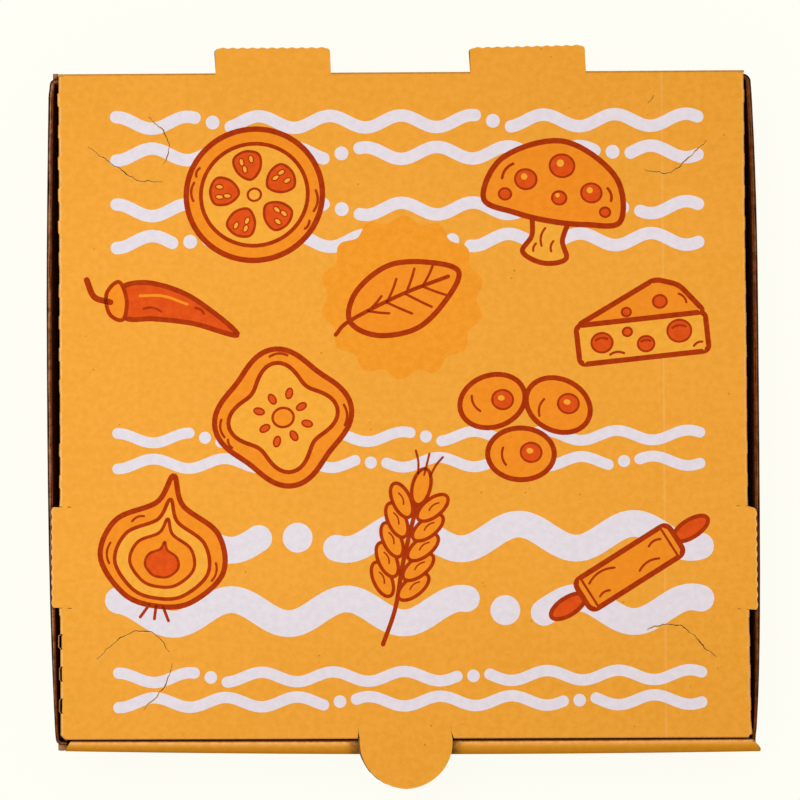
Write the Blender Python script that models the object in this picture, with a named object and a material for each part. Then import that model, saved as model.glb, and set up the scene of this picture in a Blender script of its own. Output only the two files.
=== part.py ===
"""A shut takeaway pizza box, folded from one die-cut sheet of printed corrugated board.

Metres, +Z up. The origin is on the table under the middle of the box. The tongue points to -Y, the front,
and the tabs of the hinge side point to +Y. The flutes of the board run from front to back.
"""

import math

import bmesh
import bpy

MM = 0.001

# Board and clearance
BOARD = 2.0 * MM
CLEARANCE = 0.3 * MM

# Heights above the table
HEIGHT = 45.0 * MM
LID_UNDERSIDE = HEIGHT - BOARD
WALL_TOP = LID_UNDERSIDE - CLEARANCE
ROLL_SETTLING = 0.1 * MM
FRONT_WALL_TOP = WALL_TOP - ROLL_SETTLING
FLAP_BOTTOM = 6.0 * MM

# Lid panel, half of the length from the tip of the tongue to the tips of the tabs
HALF_LENGTH = 161.3 * MM
LID_HALF_WIDTH = 149.5 * MM
LID_CORNER = 1.5 * MM

# Tongue at the front: a half disc with a relief cut on each side
TONGUE_RADIUS = 20.4 * MM
TONGUE_STEPS = 16
TONGUE_CENTRE_Y = TONGUE_RADIUS - HALF_LENGTH
TONGUE_STEM = 0.7 * MM
LID_FRONT = TONGUE_CENTRE_Y + TONGUE_STEM
RELIEF_DEPTH = 4.5 * MM
RELIEF_WIDTH = 1.8 * MM
RELIEF_TAPER = 0.1 * MM

# Tabs at the hinge side, cut out of the rear wall with a wavy edge
TAB_INNER = 30.4 * MM
TAB_OUTER = 80.6 * MM
TAB_REACH = 11.1 * MM
TAB_CORNER = 1.5 * MM
TAB_CORNER_STEPS = 4
LID_REAR = HALF_LENGTH - TAB_REACH

# Ears at the sides, which lie over the side walls
EAR_FRONT = -82.9 * MM
EAR_REAR = -39.2 * MM
EAR_REACH = 4.1 * MM
EAR_SLIT = 4.8 * MM
EAR_SLIT_WIDTH = 0.5 * MM

# Wave of the safe cut edges
WAVE_PITCH = 4.3 * MM
WAVE_DEPTH = 0.5 * MM
WAVE_STEPS = 6

# Side walls, which lean out and bow most at the middle of their top edge
WALL_FOOT = 151.6 * MM
WALL_END_LEAN = 0.6 * MM
WALL_BOW = 3.0 * MM
BOW_HALF_LENGTH = 146.0 * MM
BOW_POWER = 2.5
WALL_STATIONS = 28
REAR_CORNER_RADIUS = 3.6 * MM
FRONT_CORNER_RADIUS = 3.0 * MM
CORNER_STEPS = 6
REAR_RETURN_END = 24.0 * MM
FRONT_RETURN_END = 148.0 * MM
FRONT_RETURN_FACE = -141.7 * MM
STRAIGHT_WALL_END = -141.0 * MM

# Front wall: board rolled over, higher at its inner edge
FRONT_INNER = -141.3 * MM
FRONT_FOOT = -144.9 * MM
FRONT_END_FACE = -145.3 * MM
FRONT_BOW = 1.2 * MM
ROLL_DROP = 3.2 * MM
ROLL_INNER_RADIUS = 0.8 * MM
ROLL_INNER_STEPS = 3
ROLL_STEPS = 6
FRONT_STATIONS = 16
FRONT_LEFT_END = -147.1 * MM
FRONT_LEFT_SLANT = 0.33
FRONT_RIGHT_END = 149.8 * MM
FRONT_RIGHT_SLANT = 0.95
STEP_LEFT = -151.2 * MM
STEP_REAR = -142.1 * MM
STEP_TOP = 40.5 * MM

# Base: floor panel and the closed inside of the shut box
FLOOR_TOP = 2.0 * MM
FLOOR_HALF_WIDTH = WALL_FOOT - BOARD - CLEARANCE
FLOOR_FRONT = FRONT_INNER + CLEARANCE
RETURN_FACE = LID_REAR - BOARD - CLEARANCE
CORE_REAR = RETURN_FACE - BOARD - CLEARANCE
CORE_HALF_WIDTH = LID_HALF_WIDTH - BOARD - CLEARANCE
CORE_FRONT = LID_FRONT + BOARD + CLEARANCE

# Folded flaps of the lid
FRONT_FLAP_HALF_WIDTH = 145.5 * MM
SIDE_FLAP_FRONT = -136.5 * MM
SIDE_FLAP_REAR = 143.5 * MM

PRINTED = (0.880, 0.371, 0.042, 1.0)
PRINTED_SHADE = (0.590, 0.220, 0.018, 1.0)
RAW_BOARD = (0.230, 0.115, 0.060, 1.0)


def clear_scene():
    for obj in list(bpy.data.objects):
        bpy.data.objects.remove(obj)


def board_material(name, colour, roughness):
    material = bpy.data.materials.new(name)
    material.use_nodes = True
    surface = material.node_tree.nodes["Principled BSDF"]
    surface.inputs["Base Color"].default_value = colour
    surface.inputs["Roughness"].default_value = roughness
    surface.inputs["Metallic"].default_value = 0.0
    return material


def place(name, shape, material, parent=None):
    """An object of this name and shape in the scene, faces out."""
    bmesh.ops.recalc_face_normals(shape, faces=shape.faces)
    mesh = bpy.data.meshes.new(name)
    shape.to_mesh(mesh)
    shape.free()
    obj = bpy.data.objects.new(name, mesh)
    if material is not None:
        mesh.materials.append(material)
    obj.parent = parent
    bpy.context.scene.collection.objects.link(obj)
    return obj


def hide_helper(obj):
    obj.hide_render = True
    obj.display_type = "WIRE"


def join_solid(obj, helper):
    """Fuses the helper's solid onto the object."""
    hide_helper(helper)
    union = obj.modifiers.new("join_" + helper.name, "BOOLEAN")
    union.operation = "UNION"
    union.object = helper


def add_prism(shape, outline, low, high, across="XY"):
    """Extrudes a closed outline, drawn in the XY or the XZ plane, from low to high."""

    def corner(point, level):
        first, second = point
        return (first, second, level) if across == "XY" else (first, level, second)

    bottom = [shape.verts.new(corner(point, low)) for point in outline]
    top = [shape.verts.new(corner(point, high)) for point in outline]
    shape.faces.new(bottom)
    shape.faces.new(top)
    for index in range(len(outline)):
        after = (index + 1) % len(outline)
        shape.faces.new((bottom[index], bottom[after], top[after], top[index]))


def add_box(shape, low, high):
    outline = [(low[0], low[1]), (high[0], low[1]), (high[0], high[1]), (low[0], high[1])]
    add_prism(shape, outline, low[2], high[2])


def add_loft(shape, rings):
    """Joins closed rings of equally many points into one skin, with a cap at each end."""
    rows = [[shape.verts.new(point) for point in ring] for ring in rings]
    shape.faces.new(rows[0])
    shape.faces.new(rows[-1])
    for row, following in zip(rows, rows[1:]):
        for index in range(len(row)):
            after = (index + 1) % len(row)
            shape.faces.new((row[index], row[after], following[after], following[index]))


def blend(start, end, share):
    return start + (end - start) * share


def arc(centre, radius, start, end, steps):
    """Points along an arc, its ends included, with the angles in degrees."""
    angles = [math.radians(blend(start, end, step / steps)) for step in range(steps + 1)]
    return [(centre[0] + radius * math.cos(a), centre[1] + radius * math.sin(a)) for a in angles]


def wavy_line(start, end):
    """Points from start to end whose crests stand out to the right of the way they run."""
    length = math.dist(start, end)
    waves = max(1, round(length / WAVE_PITCH))
    along = ((end[0] - start[0]) / length, (end[1] - start[1]) / length)
    points = []
    for step in range(waves * WAVE_STEPS + 1):
        share = step / (waves * WAVE_STEPS)
        crest = WAVE_DEPTH * 0.5 * (1.0 - math.cos(2.0 * math.pi * share * waves))
        points.append(
            (
                blend(start[0], end[0], share) + along[1] * crest,
                blend(start[1], end[1], share) - along[0] * crest,
            )
        )
    return points


def tab_edge():
    """Edge of one tab, from its outer foot to its inner foot, as (distance from the middle, reach)."""
    reach = TAB_REACH - WAVE_DEPTH
    corner_reach = reach - TAB_CORNER
    outer = TAB_OUTER - WAVE_DEPTH
    side = wavy_line((outer, 0.0), (outer, corner_reach))
    outer_corner = arc((outer - TAB_CORNER, corner_reach), TAB_CORNER, 0.0, 90.0, TAB_CORNER_STEPS)
    tip = wavy_line((outer - TAB_CORNER, reach), (TAB_INNER + TAB_CORNER, reach))
    inner_corner = arc((TAB_INNER + TAB_CORNER, corner_reach), TAB_CORNER, 90.0, 180.0, TAB_CORNER_STEPS)
    return side + outer_corner[1:-1] + tip + inner_corner[1:] + [(TAB_INNER, 0.0)]


def ear_edge():
    """Outline of the right ear with the slits at its ends, from front to rear."""
    reach = LID_HALF_WIDTH + EAR_REACH - WAVE_DEPTH
    slit_end = LID_HALF_WIDTH - EAR_SLIT
    wavy = wavy_line((reach, EAR_FRONT + WAVE_DEPTH), (reach, EAR_REAR - WAVE_DEPTH))
    front = [(LID_HALF_WIDTH, EAR_FRONT - EAR_SLIT_WIDTH), (slit_end, EAR_FRONT)]
    rear = [(slit_end, EAR_REAR), (LID_HALF_WIDTH, EAR_REAR + EAR_SLIT_WIDTH)]
    front_corner = [(reach - WAVE_DEPTH, EAR_FRONT)]
    rear_corner = [(reach - WAVE_DEPTH, EAR_REAR)]
    return front + front_corner + wavy + rear_corner + rear


def lid_outline():
    """Outline of the lid panel with its tongue, ears and tabs, seen from above."""
    tongue = arc((0.0, TONGUE_CENTRE_Y), TONGUE_RADIUS, 270.0, 360.0, TONGUE_STEPS)
    relief = [
        (TONGUE_RADIUS - RELIEF_TAPER, LID_FRONT + RELIEF_DEPTH),
        (TONGUE_RADIUS + RELIEF_WIDTH, LID_FRONT),
    ]
    corner = [(LID_HALF_WIDTH - LID_CORNER, LID_FRONT), (LID_HALF_WIDTH, LID_FRONT + LID_CORNER)]
    rear = [(LID_HALF_WIDTH, LID_REAR)]
    tab = [(x, LID_REAR + reach) for x, reach in tab_edge()]
    right = tongue + relief + corner + ear_edge() + rear + tab
    left = [(-x, y) for x, y in reversed(right[1:])]
    return right + left


def build_lid(material, parent):
    """Lid panel with the three flaps that are folded down inside the walls."""
    panel = bmesh.new()
    add_prism(panel, lid_outline(), LID_UNDERSIDE, HEIGHT)
    lid = place("lid", panel, material, parent)

    flaps = bmesh.new()
    flap_top = LID_UNDERSIDE + 0.5 * BOARD
    add_box(
        flaps,
        (-FRONT_FLAP_HALF_WIDTH, LID_FRONT, FLAP_BOTTOM),
        (FRONT_FLAP_HALF_WIDTH, LID_FRONT + BOARD, flap_top),
    )
    for side in (-1.0, 1.0):
        faces = sorted((side * LID_HALF_WIDTH, side * (LID_HALF_WIDTH - BOARD)))
        add_box(
            flaps,
            (faces[0], SIDE_FLAP_FRONT, FLAP_BOTTOM),
            (faces[1], SIDE_FLAP_REAR, flap_top),
        )
    join_solid(lid, place("folded_flaps", flaps, None, parent))
    return lid


def wall_lean(y):
    """How far the top of a side wall stands out from its foot, at this distance from the middle."""
    share = min(1.0, abs(y) / BOW_HALF_LENGTH)
    return WALL_END_LEAN + WALL_BOW * (1.0 - share**BOW_POWER)


def wall_path(top, front_return):
    """Pairs of outer and inner points of the right side wall, from front to rear, at its top or its foot."""
    end_x = WALL_FOOT + (WALL_END_LEAN if top else 0.0)
    path = []
    if front_return:
        radius = FRONT_CORNER_RADIUS
        centre = (end_x - radius, FRONT_RETURN_FACE + radius)
        path.append(
            ((FRONT_RETURN_END, FRONT_RETURN_FACE), (FRONT_RETURN_END, FRONT_RETURN_FACE + BOARD))
        )
        outer = arc(centre, radius, 270.0, 360.0, CORNER_STEPS)
        inner = arc(centre, radius - BOARD, 270.0, 360.0, CORNER_STEPS)
        path += list(zip(outer, inner))[:-1]
        first = centre[1]
    else:
        first = STRAIGHT_WALL_END
    last = RETURN_FACE - REAR_CORNER_RADIUS
    for station in range(WALL_STATIONS + 1):
        y = blend(first, last, station / WALL_STATIONS)
        x = WALL_FOOT + (wall_lean(y) if top else 0.0)
        path.append(((x, y), (x - BOARD, y)))
    centre = (end_x - REAR_CORNER_RADIUS, last)
    outer = arc(centre, REAR_CORNER_RADIUS, 0.0, 90.0, CORNER_STEPS)
    inner = arc(centre, REAR_CORNER_RADIUS - BOARD, 0.0, 90.0, CORNER_STEPS)
    path += list(zip(outer, inner))[1:]
    path.append(((REAR_RETURN_END, RETURN_FACE), (REAR_RETURN_END, RETURN_FACE - BOARD)))
    return path


def build_side_wall(name, side, front_return, material, parent):
    """Side wall whose raw edge stands up, with its flap turned in behind the rear wall."""
    shape = bmesh.new()
    rings = []
    for foot, top in zip(wall_path(False, front_return), wall_path(True, front_return)):
        rings.append(
            [
                (side * foot[0][0], foot[0][1], 0.0),
                (side * top[0][0], top[0][1], WALL_TOP),
                (side * top[1][0], top[1][1], WALL_TOP),
                (side * foot[1][0], foot[1][1], 0.0),
            ]
        )
    add_loft(shape, rings)
    return place(name, shape, material, parent)


def roll_profile(outer_y):
    """Section of the rolled front wall as (y, z), from its inner foot over the roll to its outer foot."""
    inner_centre = (FRONT_INNER - ROLL_INNER_RADIUS, FRONT_WALL_TOP - ROLL_INNER_RADIUS)
    profile = [(FRONT_INNER, 0.0)]
    profile += arc(inner_centre, ROLL_INNER_RADIUS, 0.0, 90.0, ROLL_INNER_STEPS)
    width = inner_centre[0] - outer_y
    for step in range(1, ROLL_STEPS + 1):
        angle = math.radians(90.0 * step / ROLL_STEPS)
        profile.append(
            (
                inner_centre[0] - width * math.sin(angle),
                FRONT_WALL_TOP - ROLL_DROP * (1.0 - math.cos(angle)),
            )
        )
    profile.append((FRONT_FOOT, 0.0))
    return profile


def build_front_wall(material, parent):
    """Rolled front wall, which bows forward, with the lower corner step at its left end."""
    shape = bmesh.new()
    rings = []
    for station in range(FRONT_STATIONS + 1):
        share = station / FRONT_STATIONS
        bow = FRONT_BOW * (1.0 - (2.0 * share - 1.0) ** 2)
        ring = []
        for y, z in roll_profile(FRONT_END_FACE - bow):
            depth = FRONT_INNER - y
            left = FRONT_LEFT_END - FRONT_LEFT_SLANT * depth
            right = FRONT_RIGHT_END + FRONT_RIGHT_SLANT * depth
            ring.append((blend(left, right, share), y, z))
        rings.append(ring)
    add_loft(shape, rings)
    wall = place("front_wall", shape, material, parent)

    step_shape = bmesh.new()
    add_box(
        step_shape,
        (STEP_LEFT, FRONT_FOOT, 0.0),
        (FRONT_LEFT_END - FRONT_LEFT_SLANT * BOARD, STEP_REAR, STEP_TOP),
    )
    join_solid(wall, place("corner_step", step_shape, None, parent))
    return wall


def build_rear_wall(material, parent):
    """Rear wall below the hinge crease, open where the two tabs were cut out of it."""
    window = [(x, WALL_TOP - reach) for x, reach in tab_edge()]
    outline = [(LID_HALF_WIDTH, 0.0), (LID_HALF_WIDTH, WALL_TOP)] + window
    outline += [(-x, z) for x, z in reversed(outline)]
    shape = bmesh.new()
    add_prism(shape, outline, LID_REAR - BOARD, LID_REAR, across="XZ")
    return place("rear_wall", shape, material, parent)


def build_base(material, parent):
    """Floor panel, and above it the closed inside of the shut box, one solid up to the lid."""
    between_returns = REAR_RETURN_END - CLEARANCE
    half_floor = [
        (FLOOR_HALF_WIDTH - REAR_CORNER_RADIUS, FLOOR_FRONT),
        (FLOOR_HALF_WIDTH, FLOOR_FRONT + REAR_CORNER_RADIUS),
        (FLOOR_HALF_WIDTH, CORE_REAR - REAR_CORNER_RADIUS),
        (FLOOR_HALF_WIDTH - REAR_CORNER_RADIUS, CORE_REAR),
        (between_returns, CORE_REAR),
        (between_returns, RETURN_FACE),
    ]
    floor_shape = bmesh.new()
    outline = half_floor + [(-x, y) for x, y in reversed(half_floor)]
    add_prism(floor_shape, outline, 0.0, FLOOR_TOP)
    base = place("base", floor_shape, material, parent)

    inside = bmesh.new()
    add_box(
        inside,
        (-CORE_HALF_WIDTH, CORE_FRONT, 0.5 * FLOOR_TOP),
        (CORE_HALF_WIDTH, CORE_REAR, WALL_TOP),
    )
    join_solid(base, place("closed_inside", inside, None, parent))
    return base


def main():
    clear_scene()
    box = bpy.data.objects.new("pizza_box", None)
    bpy.context.scene.collection.objects.link(box)
    printed = board_material("printed_board", PRINTED, 0.62)
    shaded = board_material("printed_board_roll", PRINTED_SHADE, 0.60)
    raw = board_material("raw_board", RAW_BOARD, 0.85)

    build_base(raw, box)
    build_side_wall("side_wall_left", -1.0, True, raw, box)
    build_side_wall("side_wall_right", 1.0, False, raw, box)
    build_front_wall(shaded, box)
    build_rear_wall(printed, box)
    build_lid(printed, box)


main()
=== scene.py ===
"""Looks of a shut takeaway pizza box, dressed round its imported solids.

The box is one die-cut sheet of corrugated board, printed orange and folded up. Each panel is made here as the
real board is: a printed outer liner, a wavy medium and an inner liner, each a thin closed sheet. The print on
the lid lies on it as thin sheets of ink. Metres, +Z up, the front with its tongue at -Y.
"""

from __future__ import annotations

import logging
from collections.abc import Sequence
from dataclasses import dataclass, field, replace
from enum import Enum, IntEnum
from typing import ClassVar

import bmesh
import bpy
import numpy as np
from mathutils import Matrix, Vector


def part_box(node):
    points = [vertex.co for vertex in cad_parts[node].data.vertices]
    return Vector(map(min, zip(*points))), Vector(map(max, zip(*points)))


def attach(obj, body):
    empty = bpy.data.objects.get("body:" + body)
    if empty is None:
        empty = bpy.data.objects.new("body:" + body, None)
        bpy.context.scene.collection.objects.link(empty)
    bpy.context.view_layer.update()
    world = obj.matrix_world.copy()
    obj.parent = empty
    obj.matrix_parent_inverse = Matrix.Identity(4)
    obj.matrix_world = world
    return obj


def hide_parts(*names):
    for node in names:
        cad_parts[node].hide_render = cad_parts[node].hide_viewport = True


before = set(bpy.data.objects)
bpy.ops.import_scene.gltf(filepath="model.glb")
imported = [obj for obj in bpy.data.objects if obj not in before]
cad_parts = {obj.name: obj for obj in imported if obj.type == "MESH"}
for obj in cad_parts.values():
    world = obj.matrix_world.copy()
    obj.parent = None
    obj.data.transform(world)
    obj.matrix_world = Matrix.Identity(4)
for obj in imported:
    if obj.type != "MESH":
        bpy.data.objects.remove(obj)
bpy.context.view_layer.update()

Array = np.ndarray
Colour = tuple[float, float, float, float]

LOG = logging.getLogger("pizza_box")
MM = 0.001
BODY = "root"


class Side(Enum):
    """Which side of the box a wall stands on, as the sign of its x."""

    LEFT = -1.0
    RIGHT = 1.0


class Slot(Enum):
    """The record's material slots."""

    PRINTED = "printed_board"
    RAW = "raw_board"


class Ink(Enum):
    """Inks of the lid's print."""

    WHITE = "white"
    GROUND = "ground"
    ORANGE = "orange"
    PALE_ORANGE = "pale_orange"
    RED = "red"
    OUTLINE = "outline"


def srgb(red: int, green: int, blue: int) -> Colour:
    """Linear colour of an 8-bit screen colour.

    Args:
        red: Red, 0 to 255.
        green: Green, 0 to 255.
        blue: Blue, 0 to 255.

    Returns:
        Linear red, green, blue and an alpha of 1.
    """
    share = np.array([red, green, blue]) / 255.0
    linear = np.where(share <= 0.04045, share / 12.92, ((share + 0.055) / 1.055) ** 2.4)
    return (float(linear[0]), float(linear[1]), float(linear[2]), 1.0)


def ease(low: float, high: float, value: Array) -> Array:
    """Smooth step: 0 below low, 1 above high, and 3t^2 - 2t^3 between them.

    Args:
        low: Where the step starts.
        high: Where the step ends.
        value: Where to read it.

    Returns:
        The step at each value.
    """
    share = np.clip((value - low) / (high - low), 0.0, 1.0)
    return share * share * (3.0 - 2.0 * share)


def drift(along: Array, seed: int, longest: float, octaves: int = 4) -> Array:
    """Slow irregular wander: a sum of sines whose lengths halve and whose heights shrink by 0.6.

    Args:
        along: Distance along the piece, in metres.
        seed: Seed of the phases.
        longest: Longest wavelength, in metres.
        octaves: How many sines are added.

    Returns:
        Values of about -1 to 1.
    """
    phases = np.random.default_rng(seed).uniform(0.0, 2.0 * np.pi, octaves)
    total = np.zeros_like(along, dtype=float)
    for octave, phase in enumerate(phases):
        total += 0.6**octave * np.sin(2.0 * np.pi * along * 1.9**octave / longest + phase)
    return total / 1.6


@dataclass(frozen=True)
class Board:
    """Corrugated board: two liners with a wavy medium between them, the flutes running front to back."""

    thickness: float = 2.0 * MM
    liner: float = 0.34 * MM
    medium: float = 0.2 * MM
    flute_pitch: float = 3.6 * MM
    bend: float = 1.2 * MM
    tight_bend: float = 0.3 * MM

    @property
    def wave_height(self) -> float:
        """Half of the way that the middle of the medium swings."""
        return 0.5 * (self.thickness - 2.0 * self.liner - self.medium)

    @property
    def inner_depth(self) -> float:
        """Depth of the inner liner's outer face below the board's outer face."""
        return self.thickness - self.liner

    def wave(self, across: Array) -> Array:
        """Depth of the medium's outer face below the board's outer face: a cosine across the flutes."""
        turn = 2.0 * np.pi * across / self.flute_pitch
        return 0.5 * (self.thickness - self.medium) + self.wave_height * np.cos(turn)


BOARD = Board()


@dataclass
class Surface:
    """A grid of points, rows by columns by 3, seen from the side that its quads face.

    Attributes:
        points: The grid.
        keep: Which cells have a face, or None for all.
        wear: Rubbing of the print at each point, and painted highlight along creases and cut edges, 0 to 1, or None
            for not at all.
        grime: How much painted shade darkens each point, 0 to 1, or None for not at all.
        tone: How much painted shading deepens the colour of each point, 0 to 1, or None for not at all.
        flipped: Turns the faces round.
        wrapped: Joins the last row to the first.
    """

    points: Array
    keep: Array | None = None
    wear: Array | None = None
    grime: Array | None = None
    tone: Array | None = None
    flipped: bool = False
    wrapped: bool = False

    def faces(self) -> Array:
        """Corner numbers of the kept quads, one row of four each."""
        rows, columns = self.points.shape[:2]
        numbers = np.arange(rows * columns).reshape(rows, columns)
        if self.wrapped:
            numbers = np.vstack([numbers, numbers[:1]])
        near, far = numbers[:-1], numbers[1:]
        quads = np.stack([near[:, :-1], near[:, 1:], far[:, 1:], far[:, :-1]], axis=-1)
        if self.keep is not None:
            quads = quads[self.keep]
        quads = quads.reshape(-1, 4)
        return quads[:, ::-1] if self.flipped else quads

    def values(self, name: str) -> Array:
        """The rubbing and highlight, the painted shade or the painted shading of every point as one flat row."""
        grid = getattr(self, name)
        if grid is None:
            return np.zeros(self.points.shape[0] * self.points.shape[1])
        return np.broadcast_to(grid, self.points.shape[:2]).reshape(-1)


def mesh_of(name: str, surfaces: Sequence[Surface]) -> bpy.types.Mesh:
    """One mesh of several surfaces, without the points that no face uses.

    Args:
        name: Name of the mesh.
        surfaces: The surfaces.

    Returns:
        The mesh, smooth shaded, with the rubbing and highlight, the painted shade and the painted shading as point
        attributes.
    """
    counts = np.cumsum([0] + [s.points.shape[0] * s.points.shape[1] for s in surfaces])
    faces = np.concatenate([s.faces() + start for s, start in zip(surfaces, counts)])
    points = np.concatenate([s.points.reshape(-1, 3) for s in surfaces])
    used, faces = np.unique(faces, return_inverse=True)
    faces = faces.reshape(-1, 4)
    mesh = bpy.data.meshes.new(name)
    mesh.vertices.add(len(used))
    mesh.vertices.foreach_set("co", points[used].astype(np.float32).ravel())
    mesh.loops.add(faces.size)
    mesh.loops.foreach_set("vertex_index", faces.astype(np.int32).ravel())
    mesh.polygons.add(len(faces))
    mesh.polygons.foreach_set("loop_start", np.arange(0, faces.size, 4, dtype=np.int32))
    mesh.polygons.foreach_set("use_smooth", np.ones(len(faces), dtype=bool))
    for label in ("wear", "grime", "tone"):
        values = np.concatenate([s.values(label) for s in surfaces])[used]
        mesh.attributes.new(label, "FLOAT", "POINT").data.foreach_set("value", values.astype(np.float32))
    mesh.update(calc_edges=True)
    mesh.validate()
    return mesh


@dataclass
class Workshop:
    """Makes pieces of the box out of surfaces and keeps count of them."""

    sharp_angle: float = np.radians(38.0)
    weld_distance: float = 0.001 * MM
    made: list[str] = field(default_factory=list)

    def sheet(
        self,
        name: str,
        surfaces: Sequence[Surface],
        thickness: float,
        materials: Sequence[bpy.types.Material],
        slot: Slot,
        replaces: Sequence[str] = (),
        weld: bool = False,
    ) -> None:
        """Makes a closed thin sheet behind the faces of these surfaces, riding on the box.

        Args:
            name: Name of the piece.
            surfaces: Its outer face.
            thickness: How far the sheet reaches behind that face.
            materials: Of the outer face, the cut edge and the inner face.
            slot: The record's slot of the piece; not used.
            replaces: CAD nodes that the piece stands for.
            weld: Whether surfaces that meet are joined along their edges.
        """
        mesh = mesh_of(name, surfaces)
        if weld:
            joined = bmesh.new()
            joined.from_mesh(mesh)
            bmesh.ops.remove_doubles(joined, verts=joined.verts, dist=self.weld_distance)
            joined.to_mesh(mesh)
            joined.free()
        piece = bpy.data.objects.new(name, mesh)
        bpy.context.scene.collection.objects.link(piece)
        for material in materials:
            mesh.materials.append(material)
        shell = piece.modifiers.new("thickness", "SOLIDIFY")
        shell.thickness = thickness
        shell.offset = -1.0
        shell.use_even_offset = False
        shell.material_offset_rim = min(1, len(materials) - 1)
        shell.material_offset = len(materials) - 1
        solid = bpy.data.meshes.new_from_object(piece.evaluated_get(bpy.context.evaluated_depsgraph_get()))
        piece.modifiers.clear()
        piece.data = solid
        bpy.data.meshes.remove(mesh)
        solid.name = name
        solid.set_sharp_from_angle(angle=self.sharp_angle)
        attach(piece, BODY)
        if replaces:
            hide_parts(*replaces)
        self.made.append(name)
        LOG.info("%s: %d faces", name, len(solid.polygons))


class Line(IntEnum):
    """What becomes of a row or column of the lid's grid past the crease."""

    FOLDED = 0
    TONGUE = 1
    TAB = 2
    EAR = 3
    CUT = 4


@dataclass(frozen=True)
class Fold:
    """Section of the band along an edge of the lid, in numbered steps outwards.

    The band is flat up to CREASE, turns down in a quarter arc of radius bend and then hangs as a flap.
    """

    width: float
    bend: float
    drop: float

    FLAT: ClassVar[Array] = np.array([0.0, 0.15, 0.6, 0.8, 0.97, 1.0])
    ARC: ClassVar[Array] = np.radians([18.0, 36.0, 54.0, 72.0, 90.0])
    HANG: ClassVar[Array] = np.array([0.25, 0.6, 1.0])
    CREASE: ClassVar[int] = 5
    STEPS: ClassVar[int] = 13
    # Per step: rubbing with a painted highlight at the crease, painted shade along the hinge fold's arc, and rubbing
    # with a painted highlight towards a cut edge.
    RUBBED_AND_HIGHLIT: ClassVar[Array] = np.array([0, 0, 0, 0, 0, 0.12, 1, 0.35, 0, 0, 0, 0, 0, 0])
    HINGE_SHADE: ClassVar[Array] = np.array([0, 0, 0, 0, 0, 0, 0.25, 0.6, 0.1, 0, 0, 0, 0, 0])
    CUT: ClassVar[Array] = np.array([0, 0, 0, 0, 0, 0, 0, 0, 0, 0, 0, 0.3, 0.7, 0.9])

    @property
    def out(self) -> Array:
        """Distance of each step from the start of the band."""
        arc = self.width - self.bend * (1.0 - np.sin(self.ARC))
        return np.concatenate([(self.width - self.bend) * self.FLAT, arc, np.full(3, self.width)])

    @property
    def down(self) -> Array:
        """Drop of each step below the flat part."""
        arc = self.bend * (1.0 - np.cos(self.ARC))
        return np.concatenate([np.zeros(len(self.FLAT)), arc, self.bend + self.drop * self.HANG])

    @classmethod
    def flat_share(cls) -> Array:
        """Share of the way to a cut edge at each step, with short steps near the edge."""
        return 1.0 - (1.0 - np.arange(cls.STEPS + 1) / cls.STEPS) ** 1.6


@dataclass(frozen=True)
class Lines:
    """All rows or all columns of the lid's grid.

    Attributes:
        at: Where each lies, or for one in a band where that band starts.
        kind: What becomes of it past the crease.
        low: Its step in the band at the low end, 0 elsewhere.
        high: Its step in the band at the high end, 0 elsewhere.
    """

    at: Array
    kind: Array
    low: Array
    high: Array

    @classmethod
    def with_bands(cls, at: Array, kind: Array) -> "Lines":
        """Adds the steps of a band at each end, which take the kind of the line beside them."""
        steps = np.arange(1, Fold.STEPS + 1)
        inner = np.zeros(len(at) + Fold.STEPS, int)
        return cls(
            np.pad(at, Fold.STEPS, mode="edge"),
            np.pad(kind, Fold.STEPS, mode="edge"),
            np.concatenate([steps[::-1], inner]),
            np.concatenate([inner, steps]),
        )

    @property
    def aside(self) -> Array:
        """Step of each line in the band at either end, 0 between the bands."""
        return self.low + self.high

    def by_end(self, pair: tuple[float, float]) -> Array:
        """For each line the first value in the band at the low end, and the second elsewhere."""
        return np.where(self.low > 0, *pair)


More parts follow.
